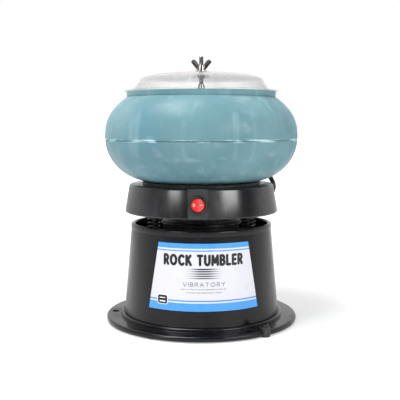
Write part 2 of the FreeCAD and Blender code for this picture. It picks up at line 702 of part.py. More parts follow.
# ---------------------------------------------------------------- bowl seat, bowl and lid
def bowl_seat():
    """A ribbed rubber-faced disc; its centre boss locates the bowl's hollow post."""
    floor = RING_TOP - 1
    body = lathe([
        (NUT_BORE_R, floor), (SEAT_R, floor), (SEAT_R, SEAT_TOP, 1.4), (27, SEAT_TOP, 0.3),
        (22, SEAT_TOP + 12, 2.0), (NUT_BORE_R, SEAT_TOP + 12, 0.3),
    ])
    holes = drills(4.2, SEAT_TOP - 2.4, 5, SEAT_SCREW_CIRCLE_R, DIAGONALS)
    shanks = drills(1.9, floor - 1, 6, SEAT_SCREW_CIRCLE_R, DIAGONALS)
    groove = tube(72, 70.5, SEAT_TOP - 1, 3)
    return body.cut(group(holes + shanks + [groove]))


def seat_screws():
    screw = pan_screw(SCREW_R, 6.0, SCREW_HEAD_R, 2.0)
    return group(around(screw.translated(xyz(SEAT_SCREW_CIRCLE_R, 0, SEAT_TOP - 2.4)), DIAGONALS))


def centre_stud():
    return lathe([(0, STUD_BOTTOM), (STUD_R, STUD_BOTTOM, 0.7), (STUD_R, STUD_TOP, 0.9), (0, STUD_TOP)])


def stud_lock_nut():
    return hexagon(11.1, DECK_BOTTOM - 5.4, 5.4).cut(disc(STUD_R + SMALL, DECK_BOTTOM - 7, 9))


def superellipse(core_r, bulge, height, power, middle_z, z):
    t = min(1.0, abs(z - middle_z) / height)
    return core_r + bulge * (1 - t ** power) ** (1 / power)


def bowl_upper_r(z, shrink=0.0):
    return superellipse(0, 126.5 - shrink, 73.1 - shrink, 2.23, 239.2, z)


def bowl_lower_r(z, shrink=0.0):
    return superellipse(67.5, 58.6 - shrink, 55.0 - shrink, 1.9, 235.0, z)


def spline_through(points):
    curve = Part.BSplineCurve()
    curve.interpolate([side(r, z) for r, z in points])
    return curve.toShape()


def bowl():
    """One moulded ring-shaped bowl with a hollow centre post and a V groove where its halves meet."""
    groove_low, groove_high = SEAM_Z - 0.9, SEAM_Z + 1.0
    inner_floor = SEAT_TOP + BOWL_WALL
    inner_neck_z = NECK_Z - 4
    lower_z = [SEAT_TOP + (groove_low - SEAT_TOP) * s for s in (0, 0.025, 0.08, 0.18, 0.33, 0.53, 0.76, 1)]
    upper_z = [groove_high + (NECK_Z - groove_high) * s for s in (0, 0.2, 0.4, 0.6, 0.8, 1)]
    outer_low = [(bowl_lower_r(z), z) for z in lower_z]
    outer_high = [(bowl_upper_r(z), z) for z in upper_z]
    inner_high_z = [235 + (inner_neck_z - 235) * s for s in (1, 0.8, 0.55, 0.3, 0)]
    inner_low_z = [inner_floor + (235 - inner_floor) * s for s in (1, 0.7, 0.42, 0.2, 0.07, 0)]
    inner = [(bowl_upper_r(z, BOWL_WALL), z) for z in inner_high_z]
    inner += [(bowl_lower_r(z, BOWL_WALL), z) for z in inner_low_z[1:]]
    rim_inner = 92.5
    neck = bowl_upper_r(NECK_Z)
    edges = [spline_through(outer_low)]
    edges += polyline([outer_low[-1], (124.6, SEAM_Z), outer_high[0]])
    edges.append(spline_through(outer_high))
    edges += polyline([
        (neck, NECK_Z), (neck - 0.8, NECK_Z + 1.2), (neck - 0.4, COLLAR_TOP - 0.8),
        (neck - 1.2, COLLAR_TOP), (rim_inner + 0.8, COLLAR_TOP), (rim_inner, COLLAR_TOP - 0.8), inner[0],
    ])
    edges.append(spline_through(inner))
    post = [
        inner[-1], (50, inner_floor), (40, inner_floor + 4), (30, inner_floor + 20),
        (20, inner_floor + 56), (15, POST_TOP - 8), (13, POST_TOP),
    ]
    edges += polyline(post[:2])
    edges.append(spline_through(post[1:6]))
    edges += polyline([
        post[5], post[6], (POST_BORE_R, POST_TOP), (POST_BORE_R, POST_TOP - 9), (8.5, POST_TOP - 9),
        (27.5, SEAT_TOP), outer_low[0],
    ])
    return turn(Part.Wire(edges))


def polyline(points):
    return [Part.makeLine(side(*a), side(*b)) for a, b in zip(points, points[1:])]


def bowl_washer():
    return tube(9, 3.5, POST_TOP, 1.5)


def bowl_nut():
    """A hex lock nut with a tapered crown."""
    low = POST_TOP + 1.5
    hexed = hexagon(11.1, low, 4.0)
    crown = lathe([(0, low + 3), (4.9, low + 4.0), (3.7, low + 10.0, 0.3), (0, low + 10.0)])
    return join([hexed, crown]).cut(disc(NUT_BORE_R, low - 1, 14))


def lid():
    """A thin clear dome with a flat flange, a locating rib and a centre hub."""
    shoulder_z = 312.5
    hub_z = 314.5
    t = LID_THICK
    return lathe([
        (91.4, 294.5), (91.4, COLLAR_TOP), (LID_FLANGE_R, COLLAR_TOP), (LID_FLANGE_R, COLLAR_TOP + t, 0.6),
        (89.0, COLLAR_TOP + t, 1.5), (77.0, shoulder_z, 9.0), (61, shoulder_z + 4.8, 30.0),
        (14, LID_TOP - 0.5, 20.0), (11.2, LID_TOP), (POST_BORE_R, LID_TOP), (POST_BORE_R, hub_z),
        (5.2, hub_z), (5.2, LID_TOP - t), (8.9, LID_TOP - t), (8.9, hub_z + 0.5), (10.6, hub_z + 0.5),
        (11.2, LID_TOP - t - 0.6), (14, LID_TOP - t - 0.8, 20.0),
        (60.6, shoulder_z + 4.8 - t, 30.0), (75.7, shoulder_z - t * 0.9, 7.5), (88.6, COLLAR_TOP + 0.6, 0.3),
        (90.0, 294.5),
    ])


def wing_washer():
    return tube(8.0, NUT_BORE_R, LID_TOP, 1.3)


def wing_nut():
    low = WING_NUT_Z - 1.4
    hub = lathe([
        (0, low), (5.6, low), (5.6, low + 1.0, 0.4), (4.8, low + 7.5, 1.0), (0, low + 7.5),
    ])
    half, tip = WING_SPAN / 2 + 0.7, WING_TIP_Z + 0.6
    outline = [
        (2.0, low + 0.8, 0.5), (5.5, low + 0.8, 2.0), (half, tip - 3.5, 2.2), (half - 3.2, tip, 2.0),
        (half - 7.0, tip - 1.5, 1.6), (3.0, low + 7.0, 0.8),
    ]
    wing = Part.Face(rounded_wire(outline, side)).extrude(xyz(0, 2.2, 0)).translated(xyz(0, -1.1, 0))
    wing = wing.makeFillet(0.6, [e for e in wing.Edges if abs(e.BoundBox.YLength) < 0.01 and e.Length > 4])
    hub_and_wings = join([hub] + around(wing, (0, 180)))
    return hub_and_wings.cut(disc(NUT_BORE_R, low - 1, 14))


PARTS = [
    base_housing, rubber_feet, edge_bumper, edge_bumper_screw, base_label, spring_shelf, shelf_screws,
    lower_spring_cups, upper_spring_cups, isolator_springs, drive_housing, motor_plate, motor_plate_screws,
    switch_body, switch_rocker, switch_leads, cord_strain_relief, power_cord, cord_plug, plug_blades,
    motor_shell, motor_top_bell, motor_bottom_bell, motor_through_bolts, motor_mount_screws, stator_core,
    stator_windings, motor_bearings, motor_shaft, rotor_core, cooling_fan, upper_weight, lower_weight,
    weight_set_screws, shaft_snap_rings, bowl_seat, seat_screws, centre_stud, stud_lock_nut, bowl,
    bowl_washer, bowl_nut, lid, wing_washer, wing_nut,
]


def main():
    os.makedirs("parts", exist_ok=True)
    for make in PARTS:
        shape = make()
        shape.exportStep("parts/" + make.__name__ + ".step")
        print(make.__name__, shape.ShapeType, len(shape.Solids), shape.isValid(), round(shape.Volume))


main()
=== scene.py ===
import json
import math
import random

import bmesh
import bpy
from mathutils import Matrix, Vector


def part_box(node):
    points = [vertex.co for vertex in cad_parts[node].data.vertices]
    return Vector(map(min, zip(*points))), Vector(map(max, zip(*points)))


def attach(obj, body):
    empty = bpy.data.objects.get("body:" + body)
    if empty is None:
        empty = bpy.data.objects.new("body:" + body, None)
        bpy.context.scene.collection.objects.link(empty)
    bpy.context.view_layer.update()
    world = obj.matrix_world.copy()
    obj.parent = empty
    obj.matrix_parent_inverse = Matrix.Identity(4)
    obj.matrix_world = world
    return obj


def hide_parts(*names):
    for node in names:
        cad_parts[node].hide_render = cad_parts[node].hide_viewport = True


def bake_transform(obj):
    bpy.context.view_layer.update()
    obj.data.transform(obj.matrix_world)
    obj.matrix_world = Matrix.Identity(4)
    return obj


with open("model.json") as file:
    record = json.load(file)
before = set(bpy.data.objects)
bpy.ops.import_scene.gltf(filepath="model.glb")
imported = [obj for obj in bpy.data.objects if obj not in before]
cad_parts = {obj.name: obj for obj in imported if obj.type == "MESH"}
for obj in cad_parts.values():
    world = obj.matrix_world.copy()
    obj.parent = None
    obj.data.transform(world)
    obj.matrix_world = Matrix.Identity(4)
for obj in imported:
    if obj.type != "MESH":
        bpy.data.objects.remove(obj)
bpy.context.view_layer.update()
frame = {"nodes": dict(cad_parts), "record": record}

# The looks of a vibratory rock tumbler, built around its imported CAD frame.
# Shapes are drawn in millimetres and scaled by MM when they become meshes.
MM = 0.001
random.seed(7)


# ---------------------------------------------------------------- sizes, in millimetres
def low(node):
    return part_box(node)[0] / MM


def high(node):
    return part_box(node)[1] / MM


FLANGE_R = high("base_housing").x
FLANGE_BOTTOM = low("base_housing").z
FLANGE_TOP = 7.4
BASE_RIM_Z = high("base_housing").z
BASE_RIM_R = 92.0
WALL_FOOT_R = 100.2
WALL_FOOT_Z = 11.6
WALL_SLOPE = (WALL_FOOT_R - BASE_RIM_R + 0.8) / (BASE_RIM_Z - WALL_FOOT_Z)
BASE_WALL = 3.2
BEAD_R = 105.2
RIM_INNER_R = 86.8
BOLT_ANGLES = (60, 180, 300)
BOLT_CIRCLE_R = frame["record"]["mounts"][0]["dims"]["pcd_mm"] / 2
BOLT_HOLE_R = frame["record"]["mounts"][0]["dims"]["hole_r_mm"]
SHELF_POST_CIRCLE_R = 82

LABEL_BOTTOM = low("base_label").z
LABEL_TOP = high("base_label").z
PRINT_LIFT = 0.32
LABEL_TURN = 2.0
LABEL_HALF_BOTTOM = 66.4
LABEL_HALF_TOP = 54.7

RING_BOTTOM = low("drive_housing").z
RING_TOP = high("drive_housing").z
RING_BOTTOM_R = high("drive_housing").x
RING_TOP_R = RING_BOTTOM_R - 5.9
RING_TILT = math.atan((RING_BOTTOM_R - RING_TOP_R) / (RING_TOP - RING_BOTTOM))
PLATE_BOSS_CIRCLE_R = 80
PLATE_BOSS_ANGLES = (50, 130, 230, 310)
SWITCH_HOLE_R = 10.05
SWITCH_Z = 157.5
SWITCH_TURN = -2.3
PAD_HALF_W = 12.5
PAD_DEPTH = 1.6
ROCKER_R = 8.1
ROCKER_SLOPE = math.radians(10)

SPRING_PLACES = [(x, y) for x in (62.6, -62.6) for y in (43.0, -43.0)]
SPRING_COIL_R = 5.05
SPRING_WIRE_R = 0.95
SPRING_COILS = 11
SPRING_BOTTOM = low("isolator_springs").z + SPRING_WIRE_R
SPRING_TOP = high("isolator_springs").z - SPRING_WIRE_R

SEAT_TOP = 180.0
SEAM_Z = 234.0
NECK_Z = 289.0
BOWL_TOP = high("bowl").z
POST_TOP = 296.0
STUD_R = 3.15
THREAD_PITCH = 1.27
STUD_BOTTOM = low("centre_stud").z
STUD_TOP = high("centre_stud").z
LID_FLANGE_R = high("lid").x
LID_TOP = high("lid").z
NUT_BOTTOM = low("wing_nut").z
NUT_TOP = high("wing_nut").z
NUT_HALF_SPAN = high("wing_nut").x
CORD_R = 3.3
CORD_TURN = 62
CORD_Z = 160
PLUG_Z = 9


# ---------------------------------------------------------------- shape helpers
def rounded(corners, steps=7):
    """Points along a closed outline of (a, b) corners; a third number rounds that corner."""
    points = []
    for i, corner in enumerate(corners):
        here = Vector(corner[:2])
        if len(corner) == 2:
            points.append(here)
            continue
        before = (Vector(corners[i - 1][:2]) - here).normalized()
        after = (Vector(corners[(i + 1) % len(corners)][:2]) - here).normalized()
        half = before.angle(after) / 2
        centre = here + (before + after).normalized() * (corner[2] / math.sin(half))
        start = here + before * (corner[2] / math.tan(half)) - centre
        end = here + after * (corner[2] / math.tan(half)) - centre
        for k in range(steps + 1):
            t = k / steps
            points.append(centre + (start * (1 - t) + end * t).normalized() * corner[2])
    return points


def lathe_mesh(outline, segments=144):
    """Turn a closed outline of (radius, height) points about the vertical axis."""
    mesh = bmesh.new()
    rings = []
    for radius, height in outline:
        if radius < 1e-4:
            rings.append([mesh.verts.new((0, 0, height))])
            continue
        ring = []
        for k in range(segments):
            angle = 2 * math.pi * k / segments
            ring.append(mesh.verts.new((radius * math.cos(angle), radius * math.sin(angle), height)))
        rings.append(ring)
    for i, ring in enumerate(rings):
        join_rings(mesh, ring, rings[(i + 1) % len(rings)])
    bmesh.ops.recalc_face_normals(mesh, faces=mesh.faces)
    return mesh


def join_rings(mesh, first, second):
    count = max(len(first), len(second))
    if count == 1:
        return
    for k in range(count):
        after = (k + 1) % count
        corners = [first[k % len(first)], first[after % len(first)]]
        corners += [second[after % len(second)], second[k % len(second)]]
        mesh.faces.new(list(dict.fromkeys(corners)))


def tube_mesh(path, radius, sides=12, closed_ends=True):
    """A round tube along a list of points."""
    mesh = bmesh.new()
    rings = []
    side = Vector((0, 0, 1)).cross(path[1] - path[0])
    side = side.normalized() if side.length > 1e-6 else Vector((1, 0, 0))
    for i, point in enumerate(path):
        heading = (path[min(i + 1, len(path) - 1)] - path[max(i - 1, 0)]).normalized()
        side = (side - heading * side.dot(heading)).normalized()
        up = heading.cross(side)
        ring = []
        for k in range(sides):
            angle = 2 * math.pi * k / sides
            ring.append(mesh.verts.new(point + (side * math.cos(angle) + up * math.sin(angle)) * radius))
        rings.append(ring)
    for first, second in zip(rings, rings[1:]):
        join_rings(mesh, first, second)
    if closed_ends:
        mesh.faces.new(rings[0])
        mesh.faces.new(rings[-1])
    bmesh.ops.recalc_face_normals(mesh, faces=mesh.faces)
    return mesh


def prism_mesh(points, bottom, thick):
    """A flat outline of (x, y) points stood up from height bottom."""
    mesh = bmesh.new()
    face = mesh.faces.new([mesh.verts.new((x, y, bottom)) for x, y in points])
    made = bmesh.ops.extrude_face_region(mesh, geom=[face])["geom"]
    bmesh.ops.translate(mesh, vec=(0, 0, thick), verts=[g for g in made if isinstance(g, bmesh.types.BMVert)])
    bmesh.ops.recalc_face_normals(mesh, faces=mesh.faces)
    return mesh


def merged(meshes):
    """One bmesh that holds several."""
    whole = bmesh.new()
    for mesh in meshes:
        held = bpy.data.meshes.new("held")
        mesh.to_mesh(held)
        whole.from_mesh(held)
        bpy.data.meshes.remove(held)
        mesh.free()
    return whole


def moved(mesh, matrix):
    mesh.transform(matrix)
    return mesh


def to_object(name, mesh, sharp=35):
    """Link a millimetre bmesh as a metre object, smooth except at sharp edges."""
    mesh.transform(Matrix.Scale(MM, 4))
    data = bpy.data.meshes.new(name)
    mesh.to_mesh(data)
    mesh.free()
    smooth(data, sharp)
    item = bpy.data.objects.new(name, data)
    bpy.context.scene.collection.objects.link(item)
    return item


def smooth(data, sharp):
    data.shade_smooth()
    data.set_sharp_from_angle(angle=math.radians(sharp))


def cut(item, cutters, sharp=35):
    """Take the cutters' volumes out of item for good."""
    for cutter in cutters:
        modifier = item.modifiers.new("cut", "BOOLEAN")
        modifier.operation = "DIFFERENCE"
        modifier.solver = "EXACT"
        modifier.object = cutter
    apply_modifiers(item, sharp)
    for cutter in cutters:
        bpy.data.objects.remove(cutter)


def apply_modifiers(item, sharp=35):
    bpy.context.view_layer.update()
    evaluated = item.evaluated_get(bpy.context.evaluated_depsgraph_get())
    data = bpy.data.meshes.new_from_object(evaluated)
    item.modifiers.clear()
    item.data = data
    smooth(data, sharp)


def bevelled(item, width, segments=2, sharp=35):
    modifier = item.modifiers.new("bevel", "BEVEL")
    modifier.width = width * MM
    modifier.segments = segments
    modifier.angle_limit = math.radians(sharp)
    apply_modifiers(item, sharp)
    return item


def dress(item, look, slot, *replaced):
    """Give a piece its material, and hide the CAD nodes that it stands for; the slot argument is not used."""
    item.data.materials.clear()
    item.data.materials.append(look)
    if replaced:
        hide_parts(*replaced)
    return item


def rod(radius, bottom, top, x, y, segments=48):
    """A plain upright cutter."""
    mesh = lathe_mesh([(0, bottom), (radius, bottom), (radius, top), (0, top)], segments)
    return to_object("cutter", moved(mesh, Matrix.Translation((x, y, 0))))


def polar(radius, degrees):
    angle = math.radians(degrees)
    return radius * math.cos(angle), radius * math.sin(angle)


def standing(outline, circle_r, angles):
    """Turned posts of one outline stood round a circle."""
    places = [Matrix.Translation((*polar(circle_r, a), 0)) for a in angles]
    return merged([moved(lathe_mesh(rounded(outline), 32), place) for place in places])


# ---------------------------------------------------------------- materials
class Look:
    """A node material under construction; positions are the object's own, in metres."""

    def __init__(self, name, colour, roughness, metallic=0.0):
        self.material = bpy.data.materials.new(name)
        self.material.use_nodes = True
        self.tree = self.material.node_tree
        self.shader = self.tree.nodes["Principled BSDF"]
        self.place = self.tree.nodes.new("ShaderNodeTexCoord").outputs["Object"]
        self.feed("Base Color", (*colour, 1))
        self.feed("Roughness", roughness)
        self.feed("Metallic", metallic)

    def feed(self, name, value):
        if isinstance(value, bpy.types.NodeSocket):
            self.tree.links.new(value, self.shader.inputs[name])
        else:
            self.shader.inputs[name].default_value = value

    def node(self, kind, **inputs):
        made = self.tree.nodes.new(kind)
        for name, value in inputs.items():
            self.plug(made.inputs[name.replace("_", " ")], value)
        return made

    def plug(self, socket, value):
        if isinstance(value, bpy.types.NodeSocket):
            self.tree.links.new(value, socket)
        else:
            socket.default_value = value

    def stretched(self, scale, shift=(0, 0, 0)):
        return self.node("ShaderNodeMapping", Vector=self.place, Scale=scale, Location=shift).outputs[0]

    def noise(self, scale, detail=4.0, stretch=(1, 1, 1), shift=(0, 0, 0)):
        vector = self.stretched(stretch, shift)
        return self.node("ShaderNodeTexNoise", Vector=vector, Scale=scale, Detail=detail).outputs[0]

    def spots(self, scale):
        return self.node("ShaderNodeTexVoronoi", Vector=self.place, Scale=scale).outputs["Distance"]

    def span(self, source, start, end, low_value=0.0, high_value=1.0):
        made = self.node("ShaderNodeMapRange", Value=source)
        made.interpolation_type = "SMOOTHSTEP"
        limits = {"From Min": start, "From Max": end, "To Min": low_value, "To Max": high_value}
        for name, value in limits.items():
            made.inputs[name].default_value = value
        return made.outputs[0]

    def maths(self, operation, a, b=0.0):
        made = self.tree.nodes.new("ShaderNodeMath")
        made.operation = operation
        self.plug(made.inputs[0], a)
        self.plug(made.inputs[1], b)
        return made.outputs[0]

    def mix(self, factor, a, b):
        made = self.tree.nodes.new("ShaderNodeMix")
        made.data_type = "RGBA"
        self.plug(made.inputs[0], factor)
        for socket, value in ((made.inputs[6], a), (made.inputs[7], b)):
            self.plug(socket, (*value, 1) if isinstance(value, tuple) else value)
        return made.outputs[2]

    def axis(self, name):
        split = self.node("ShaderNodeSeparateXYZ", Vector=self.place)
        return split.outputs[name]

    def bump(self, source, depth):
        """Depth is in millimetres."""
        made = self.node("ShaderNodeBump", Height=source, Distance=depth * MM)
        self.feed("Normal", made.outputs[0])


def black_plastic(name, scuffs):
    """Moulded black plastic with orange peel, handling haze and pale scuffs."""
    look = Look(name, (0.010, 0.010, 0.011), 0.3)
    look.feed("Specular IOR Level", 0.28)
    haze = look.span(look.noise(22, 5, (1, 1, 0.45)), 0.42, 0.72)
    fine = look.span(look.noise(260, 3, (1, 1, 0.3)), 0.5, 0.75)
    worn = look.maths("MULTIPLY", haze, scuffs)
    colour = look.mix(worn, (0.005, 0.005, 0.006), (0.036, 0.037, 0.040))
    fine_worn = look.maths("MULTIPLY", fine, scuffs * 0.6)
    look.feed("Base Color", look.mix(fine_worn, colour, (0.060, 0.060, 0.063)))
    look.feed("Roughness", look.span(haze, 0, 1, 0.20, 0.36))
    look.bump(look.noise(900, 2), 0.012)
    return look


def ring_plastic():
    """The drive housing's plastic, with a plain matt strip where the switch sits."""
    look = black_plastic("drive_housing_plastic", 0.30)
    look.feed("Specular IOR Level", 0.62)
    worn = look.shader.inputs["Base Color"].links[0].from_socket
    rough = look.shader.inputs["Roughness"].links[0].from_socket
    across = look.maths("ABSOLUTE", look.maths("ADD", look.axis("X"), 0.004))
    pad = look.span(across, (PAD_HALF_W + 0.1) * MM, (PAD_HALF_W - 0.1) * MM)
    pad = look.maths("MULTIPLY", pad, look.span(look.axis("Y"), -0.06, -0.07))
    grain = look.mix(look.noise(500, 2), (0.010, 0.014, 0.015), (0.020, 0.027, 0.028))
    look.feed("Base Color", look.mix(pad, worn, grain))
    mixed = look.node("ShaderNodeMix", Factor=pad)
    look.plug(mixed.inputs[2], rough)
    mixed.inputs[3].default_value = 0.55
    look.feed("Roughness", mixed.outputs[0])
    return look.material


def bowl_plastic():
    """Mottled teal polyurethane: smudges, upright streaks, pale scuffs along the seam, painted shade in the
    seam groove, dark specks.
    """
    look = Look("bowl_polyurethane", (0.19, 0.37, 0.44), 0.42)
    cloud = look.span(look.noise(14, 6), 0.3, 0.7)
    colour = look.mix(cloud, (0.094, 0.205, 0.236), (0.150, 0.272, 0.305))
    blue = look.span(look.noise(9, 3, shift=(3, 1, 2)), 0.52, 0.7)
    colour = look.mix(look.maths("MULTIPLY", blue, 0.35), colour, (0.110, 0.250, 0.335))
    streaks = look.span(look.noise(60, 4, (1, 1, 0.07)), 0.52, 0.74)
    colour = look.mix(look.maths("MULTIPLY", streaks, 0.30), colour, (0.290, 0.450, 0.485))
    dull = look.span(look.noise(30, 5, (1, 1, 2.0), (5, 0, 1)), 0.58, 0.75)
    colour = look.mix(look.maths("MULTIPLY", dull, 0.40), colour, (0.280, 0.390, 0.415))
    from_seam = look.maths("ABSOLUTE", look.maths("SUBTRACT", look.axis("Z"), (SEAM_Z + 0.4) * MM))
    near_seam = look.span(from_seam, 0.0022, 0.0009)
    rubbed = look.span(look.noise(38, 4, (1, 1, 6)), 0.50, 0.62)
    colour = look.mix(look.maths("MULTIPLY", near_seam, rubbed), colour, (0.52, 0.70, 0.72))
    # Painted shade: the colour darkens inside the seam groove, where shade falls.
    groove_painted_shade = look.span(from_seam, 0.0011, 0.0002)
    colour = look.mix(look.maths("MULTIPLY", groove_painted_shade, 0.25), colour, (0.07, 0.20, 0.28))
    specks = look.span(look.spots(34), 0.085, 0.045)
    rare = look.span(look.noise(17, 1, shift=(9, 4, 4)), 0.57, 0.61)
    few_specks = look.maths("MULTIPLY", look.maths("MULTIPLY", specks, rare), 0.7)
    colour = look.mix(few_specks, colour, (0.05, 0.12, 0.14))
    look.feed("Base Color", colour)
    look.feed("Roughness", look.span(look.noise(45, 5, (1, 1, 0.4)), 0.3, 0.7, 0.34, 0.56))
    look.feed("Specular IOR Level", 0.22)
    look.feed("Subsurface Weight", 0.06)
    look.feed("Subsurface Scale", 0.004)
    look.bump(look.noise(120, 5), 0.10)
    return look.material


def clear_plastic():
    """Thin clear styrene: nearly see-through face on, turned pale grey at grazing angles by a painted sheen,
    with rubbing haze.
    """
    look = Look("lid_clear_plastic", (0.52, 0.50, 0.50), 0.10)
    facing = look.node("ShaderNodeLayerWeight", Blend=0.35).outputs["Facing"]
    haze = look.span(look.noise(28, 5, (1, 1, 3)), 0.45, 0.75, 0.0, 0.06)
    # Painted sheen: opacity of the pale grey colour rises at grazing angles, standing in for the plastic's
    # reflection.
    grazing_painted_sheen = look.span(facing, 0.1, 1.0, 0.04, 0.55)
    look.feed("Alpha", look.maths("ADD", grazing_painted_sheen, haze))
    look.feed("Roughness", look.span(look.noise(60, 4), 0.3, 0.7, 0.05, 0.2))
    look.bump(look.noise(35, 3), 0.08)
    return look.material


def metal(name, colour, roughness, grain=400):
    look = Look(name, colour, roughness, 1.0)
    tone = look.noise(grain, 4)
    dark = tuple(c * 0.62 for c in colour)
    look.feed("Base Color", look.mix(look.span(tone, 0.3, 0.7), dark, colour))
    wear = look.noise(grain * 0.4, 3)
    look.feed("Roughness", look.span(wear, 0.3, 0.7, roughness * 0.75, roughness * 1.35))
    look.bump(tone, 0.02)
    return look.material


def rubber(name, colour, roughness):
    look = Look(name, colour, roughness)
    dust = look.span(look.noise(150, 5), 0.45, 0.75)
    look.feed("Base Color", look.mix(dust, colour, tuple(c * 2.2 + 0.006 for c in colour)))
    look.feed("Roughness", look.span(look.noise(90, 3), 0.3, 0.7, roughness - 0.08, roughness + 0.1))
    look.bump(look.noise(700, 3), 0.04)
    return look.material


def gloss(name, colour, roughness=0.25):
    look = Look(name, colour, roughness)
    tone = look.span(look.noise(180, 3), 0.3, 0.7)
    look.feed("Base Color", look.mix(tone, tuple(c * 0.88 for c in colour), colour))
    look.feed("Roughness", look.span(look.noise(240, 3), 0.3, 0.7, roughness * 0.8, roughness * 1.3))
    look.bump(look.noise(800, 2), 0.01)
    return look.material


def laminations():
    """Thin steel sheets seen edge on."""
    look = Look("stacked_laminations", (0.3, 0.3, 0.31), 0.45, 1.0)
    sheets = look.maths("SINE", look.maths("MULTIPLY", look.axis("Z"), 2 * math.pi / (0.5 * MM)))
    look.feed("Base Color", look.mix(look.span(sheets, -1, 1), (0.10, 0.10, 0.11), (0.34, 0.33, 0.32)))
    look.bump(sheets, 0.05)
    return look.material


def winding_wire():
    """Varnished copper turns laid round the bore."""
    look = Look("copper_windings", (0.5, 0.2, 0.08), 0.3, 0.8)
    wave = look.node("ShaderNodeTexWave", Vector=look.stretched((1, 1, 3)), Scale=420, Distortion=1.5)
    turns = wave.outputs[1]
    look.feed("Base Color", look.mix(turns, (0.20, 0.07, 0.03), (0.62, 0.27, 0.11)))
    look.bump(turns, 0.15)
    return look.material


LABEL_BLUE = (0.060, 0.310, 0.82)
LABEL_WHITE = (0.65, 0.65, 0.70)


def label_print():
    """Bands across a printed vinyl label, measured from its lower and upper edges."""
    look = Look("label_vinyl", LABEL_WHITE, 0.3)
    height = look.axis("Z")
    stripes = [
        (LABEL_BOTTOM - 1, LABEL_BOTTOM + 9.4, LABEL_BLUE),
        (LABEL_BOTTOM + 11.2, LABEL_BOTTOM + 12.8, (0.05, 0.25, 0.66)),
        (LABEL_TOP - 9.3, LABEL_TOP - 7.9, (0.05, 0.25, 0.66)),
        (LABEL_TOP - 6.0, LABEL_TOP + 1, LABEL_BLUE),
    ]
    colour = look.mix(look.noise(300, 2), LABEL_WHITE, tuple(c * 0.97 for c in LABEL_WHITE))
    for start, end, ink in stripes:
        above = look.maths("GREATER_THAN", height, start * MM)
        below = look.maths("LESS_THAN", height, end * MM)
        colour = look.mix(look.maths("MULTIPLY", above, below), colour, ink)
    look.feed("Base Color", colour)
    look.feed("Roughness", look.span(look.noise(70, 3), 0.3, 0.7, 0.26, 0.4))
    look.bump(look.noise(60, 3), 0.05)
    return look.material


def fading_ink():
    """Black in the middle of the label, fading to the panel's white at the sides."""
    look = Look("fading_ink", (0.01, 0.01, 0.01), 0.35)
    from_middle = look.maths("ABSOLUTE", look.maths("SUBTRACT", look.axis("X"), 0.0035))
    fade = look.span(from_middle, 0.004, 0.024)
    look.feed("Base Color", look.mix(fade, (0.012, 0.012, 0.014), (0.52, 0.52, 0.57)))
    return look.material


LOOKS = {
    "housing_black": black_plastic("housing_plastic", 0.07).material,
    "rubber_black": rubber("black_rubber", (0.012, 0.012, 0.012), 0.55),
    "cord_black": rubber("cord_pvc", (0.008, 0.008, 0.009), 0.34),
    "plated_steel": metal("zinc_plated_steel", (0.62, 0.61, 0.58), 0.28),
    "stud_steel": metal("dark_nickel", (0.30, 0.29, 0.28), 0.16),
    "sheet_steel": metal("sheet_steel", (0.48, 0.48, 0.49), 0.38, 90),
    "spring_steel": metal("oiled_spring_wire", (0.13, 0.13, 0.135), 0.33),
    "label_print": label_print(),
    "switch_black": rubber("switch_nylon", (0.010, 0.010, 0.010), 0.4),
    "switch_red": gloss("switch_red", (0.70, 0.030, 0.026), 0.3),
    "motor_cast": metal("motor_casting", (0.11, 0.11, 0.115), 0.42, 240),
    "motor_shell_paint": gloss("motor_enamel", (0.015, 0.015, 0.017), 0.35),
    "lamination": laminations(),
    "copper": winding_wire(),
    "rotor_bars": metal("cast_rotor", (0.62, 0.62, 0.63), 0.4, 300),
    "fan_plastic": rubber("fan_nylon", (0.02, 0.02, 0.021), 0.45),
    "weight_steel": metal("sintered_weight", (0.16, 0.16, 0.16), 0.5, 500),
    "bowl_teal": bowl_plastic(),
    "lid_clear": clear_plastic(),
    "plug_blade": metal("nickel_brass", (0.66, 0.63, 0.54), 0.25),
}
RING_LOOK = ring_plastic()
BLACK_SCREW = metal("blackened_steel", (0.05, 0.05, 0.052), 0.3)
INK = gloss("printing_ink", (0.004, 0.004, 0.005), 0.5)
GREY_INK = gloss("grey_ink", (0.17, 0.17, 0.20), 0.35)
WHITE_INK = gloss("white_ink", (0.80, 0.80, 0.80), 0.35)
FADING_INK = fading_ink()
SLOT_OF = {part["node"]: part["material_slot"] for part in frame["record"]["subparts"]}


def dress_cad_nodes():
    for name, node in frame["nodes"].items():
        node.data.materials.clear()
        node.data.materials.append(BLACK_SCREW if name == "edge_bumper_screw" else LOOKS[SLOT_OF[name]])


# ---------------------------------------------------------------- base
def wall_r(z):
    """Outer radius of the base's conical wall."""
    return WALL_FOOT_R - WALL_SLOPE * (z - WALL_FOOT_Z)


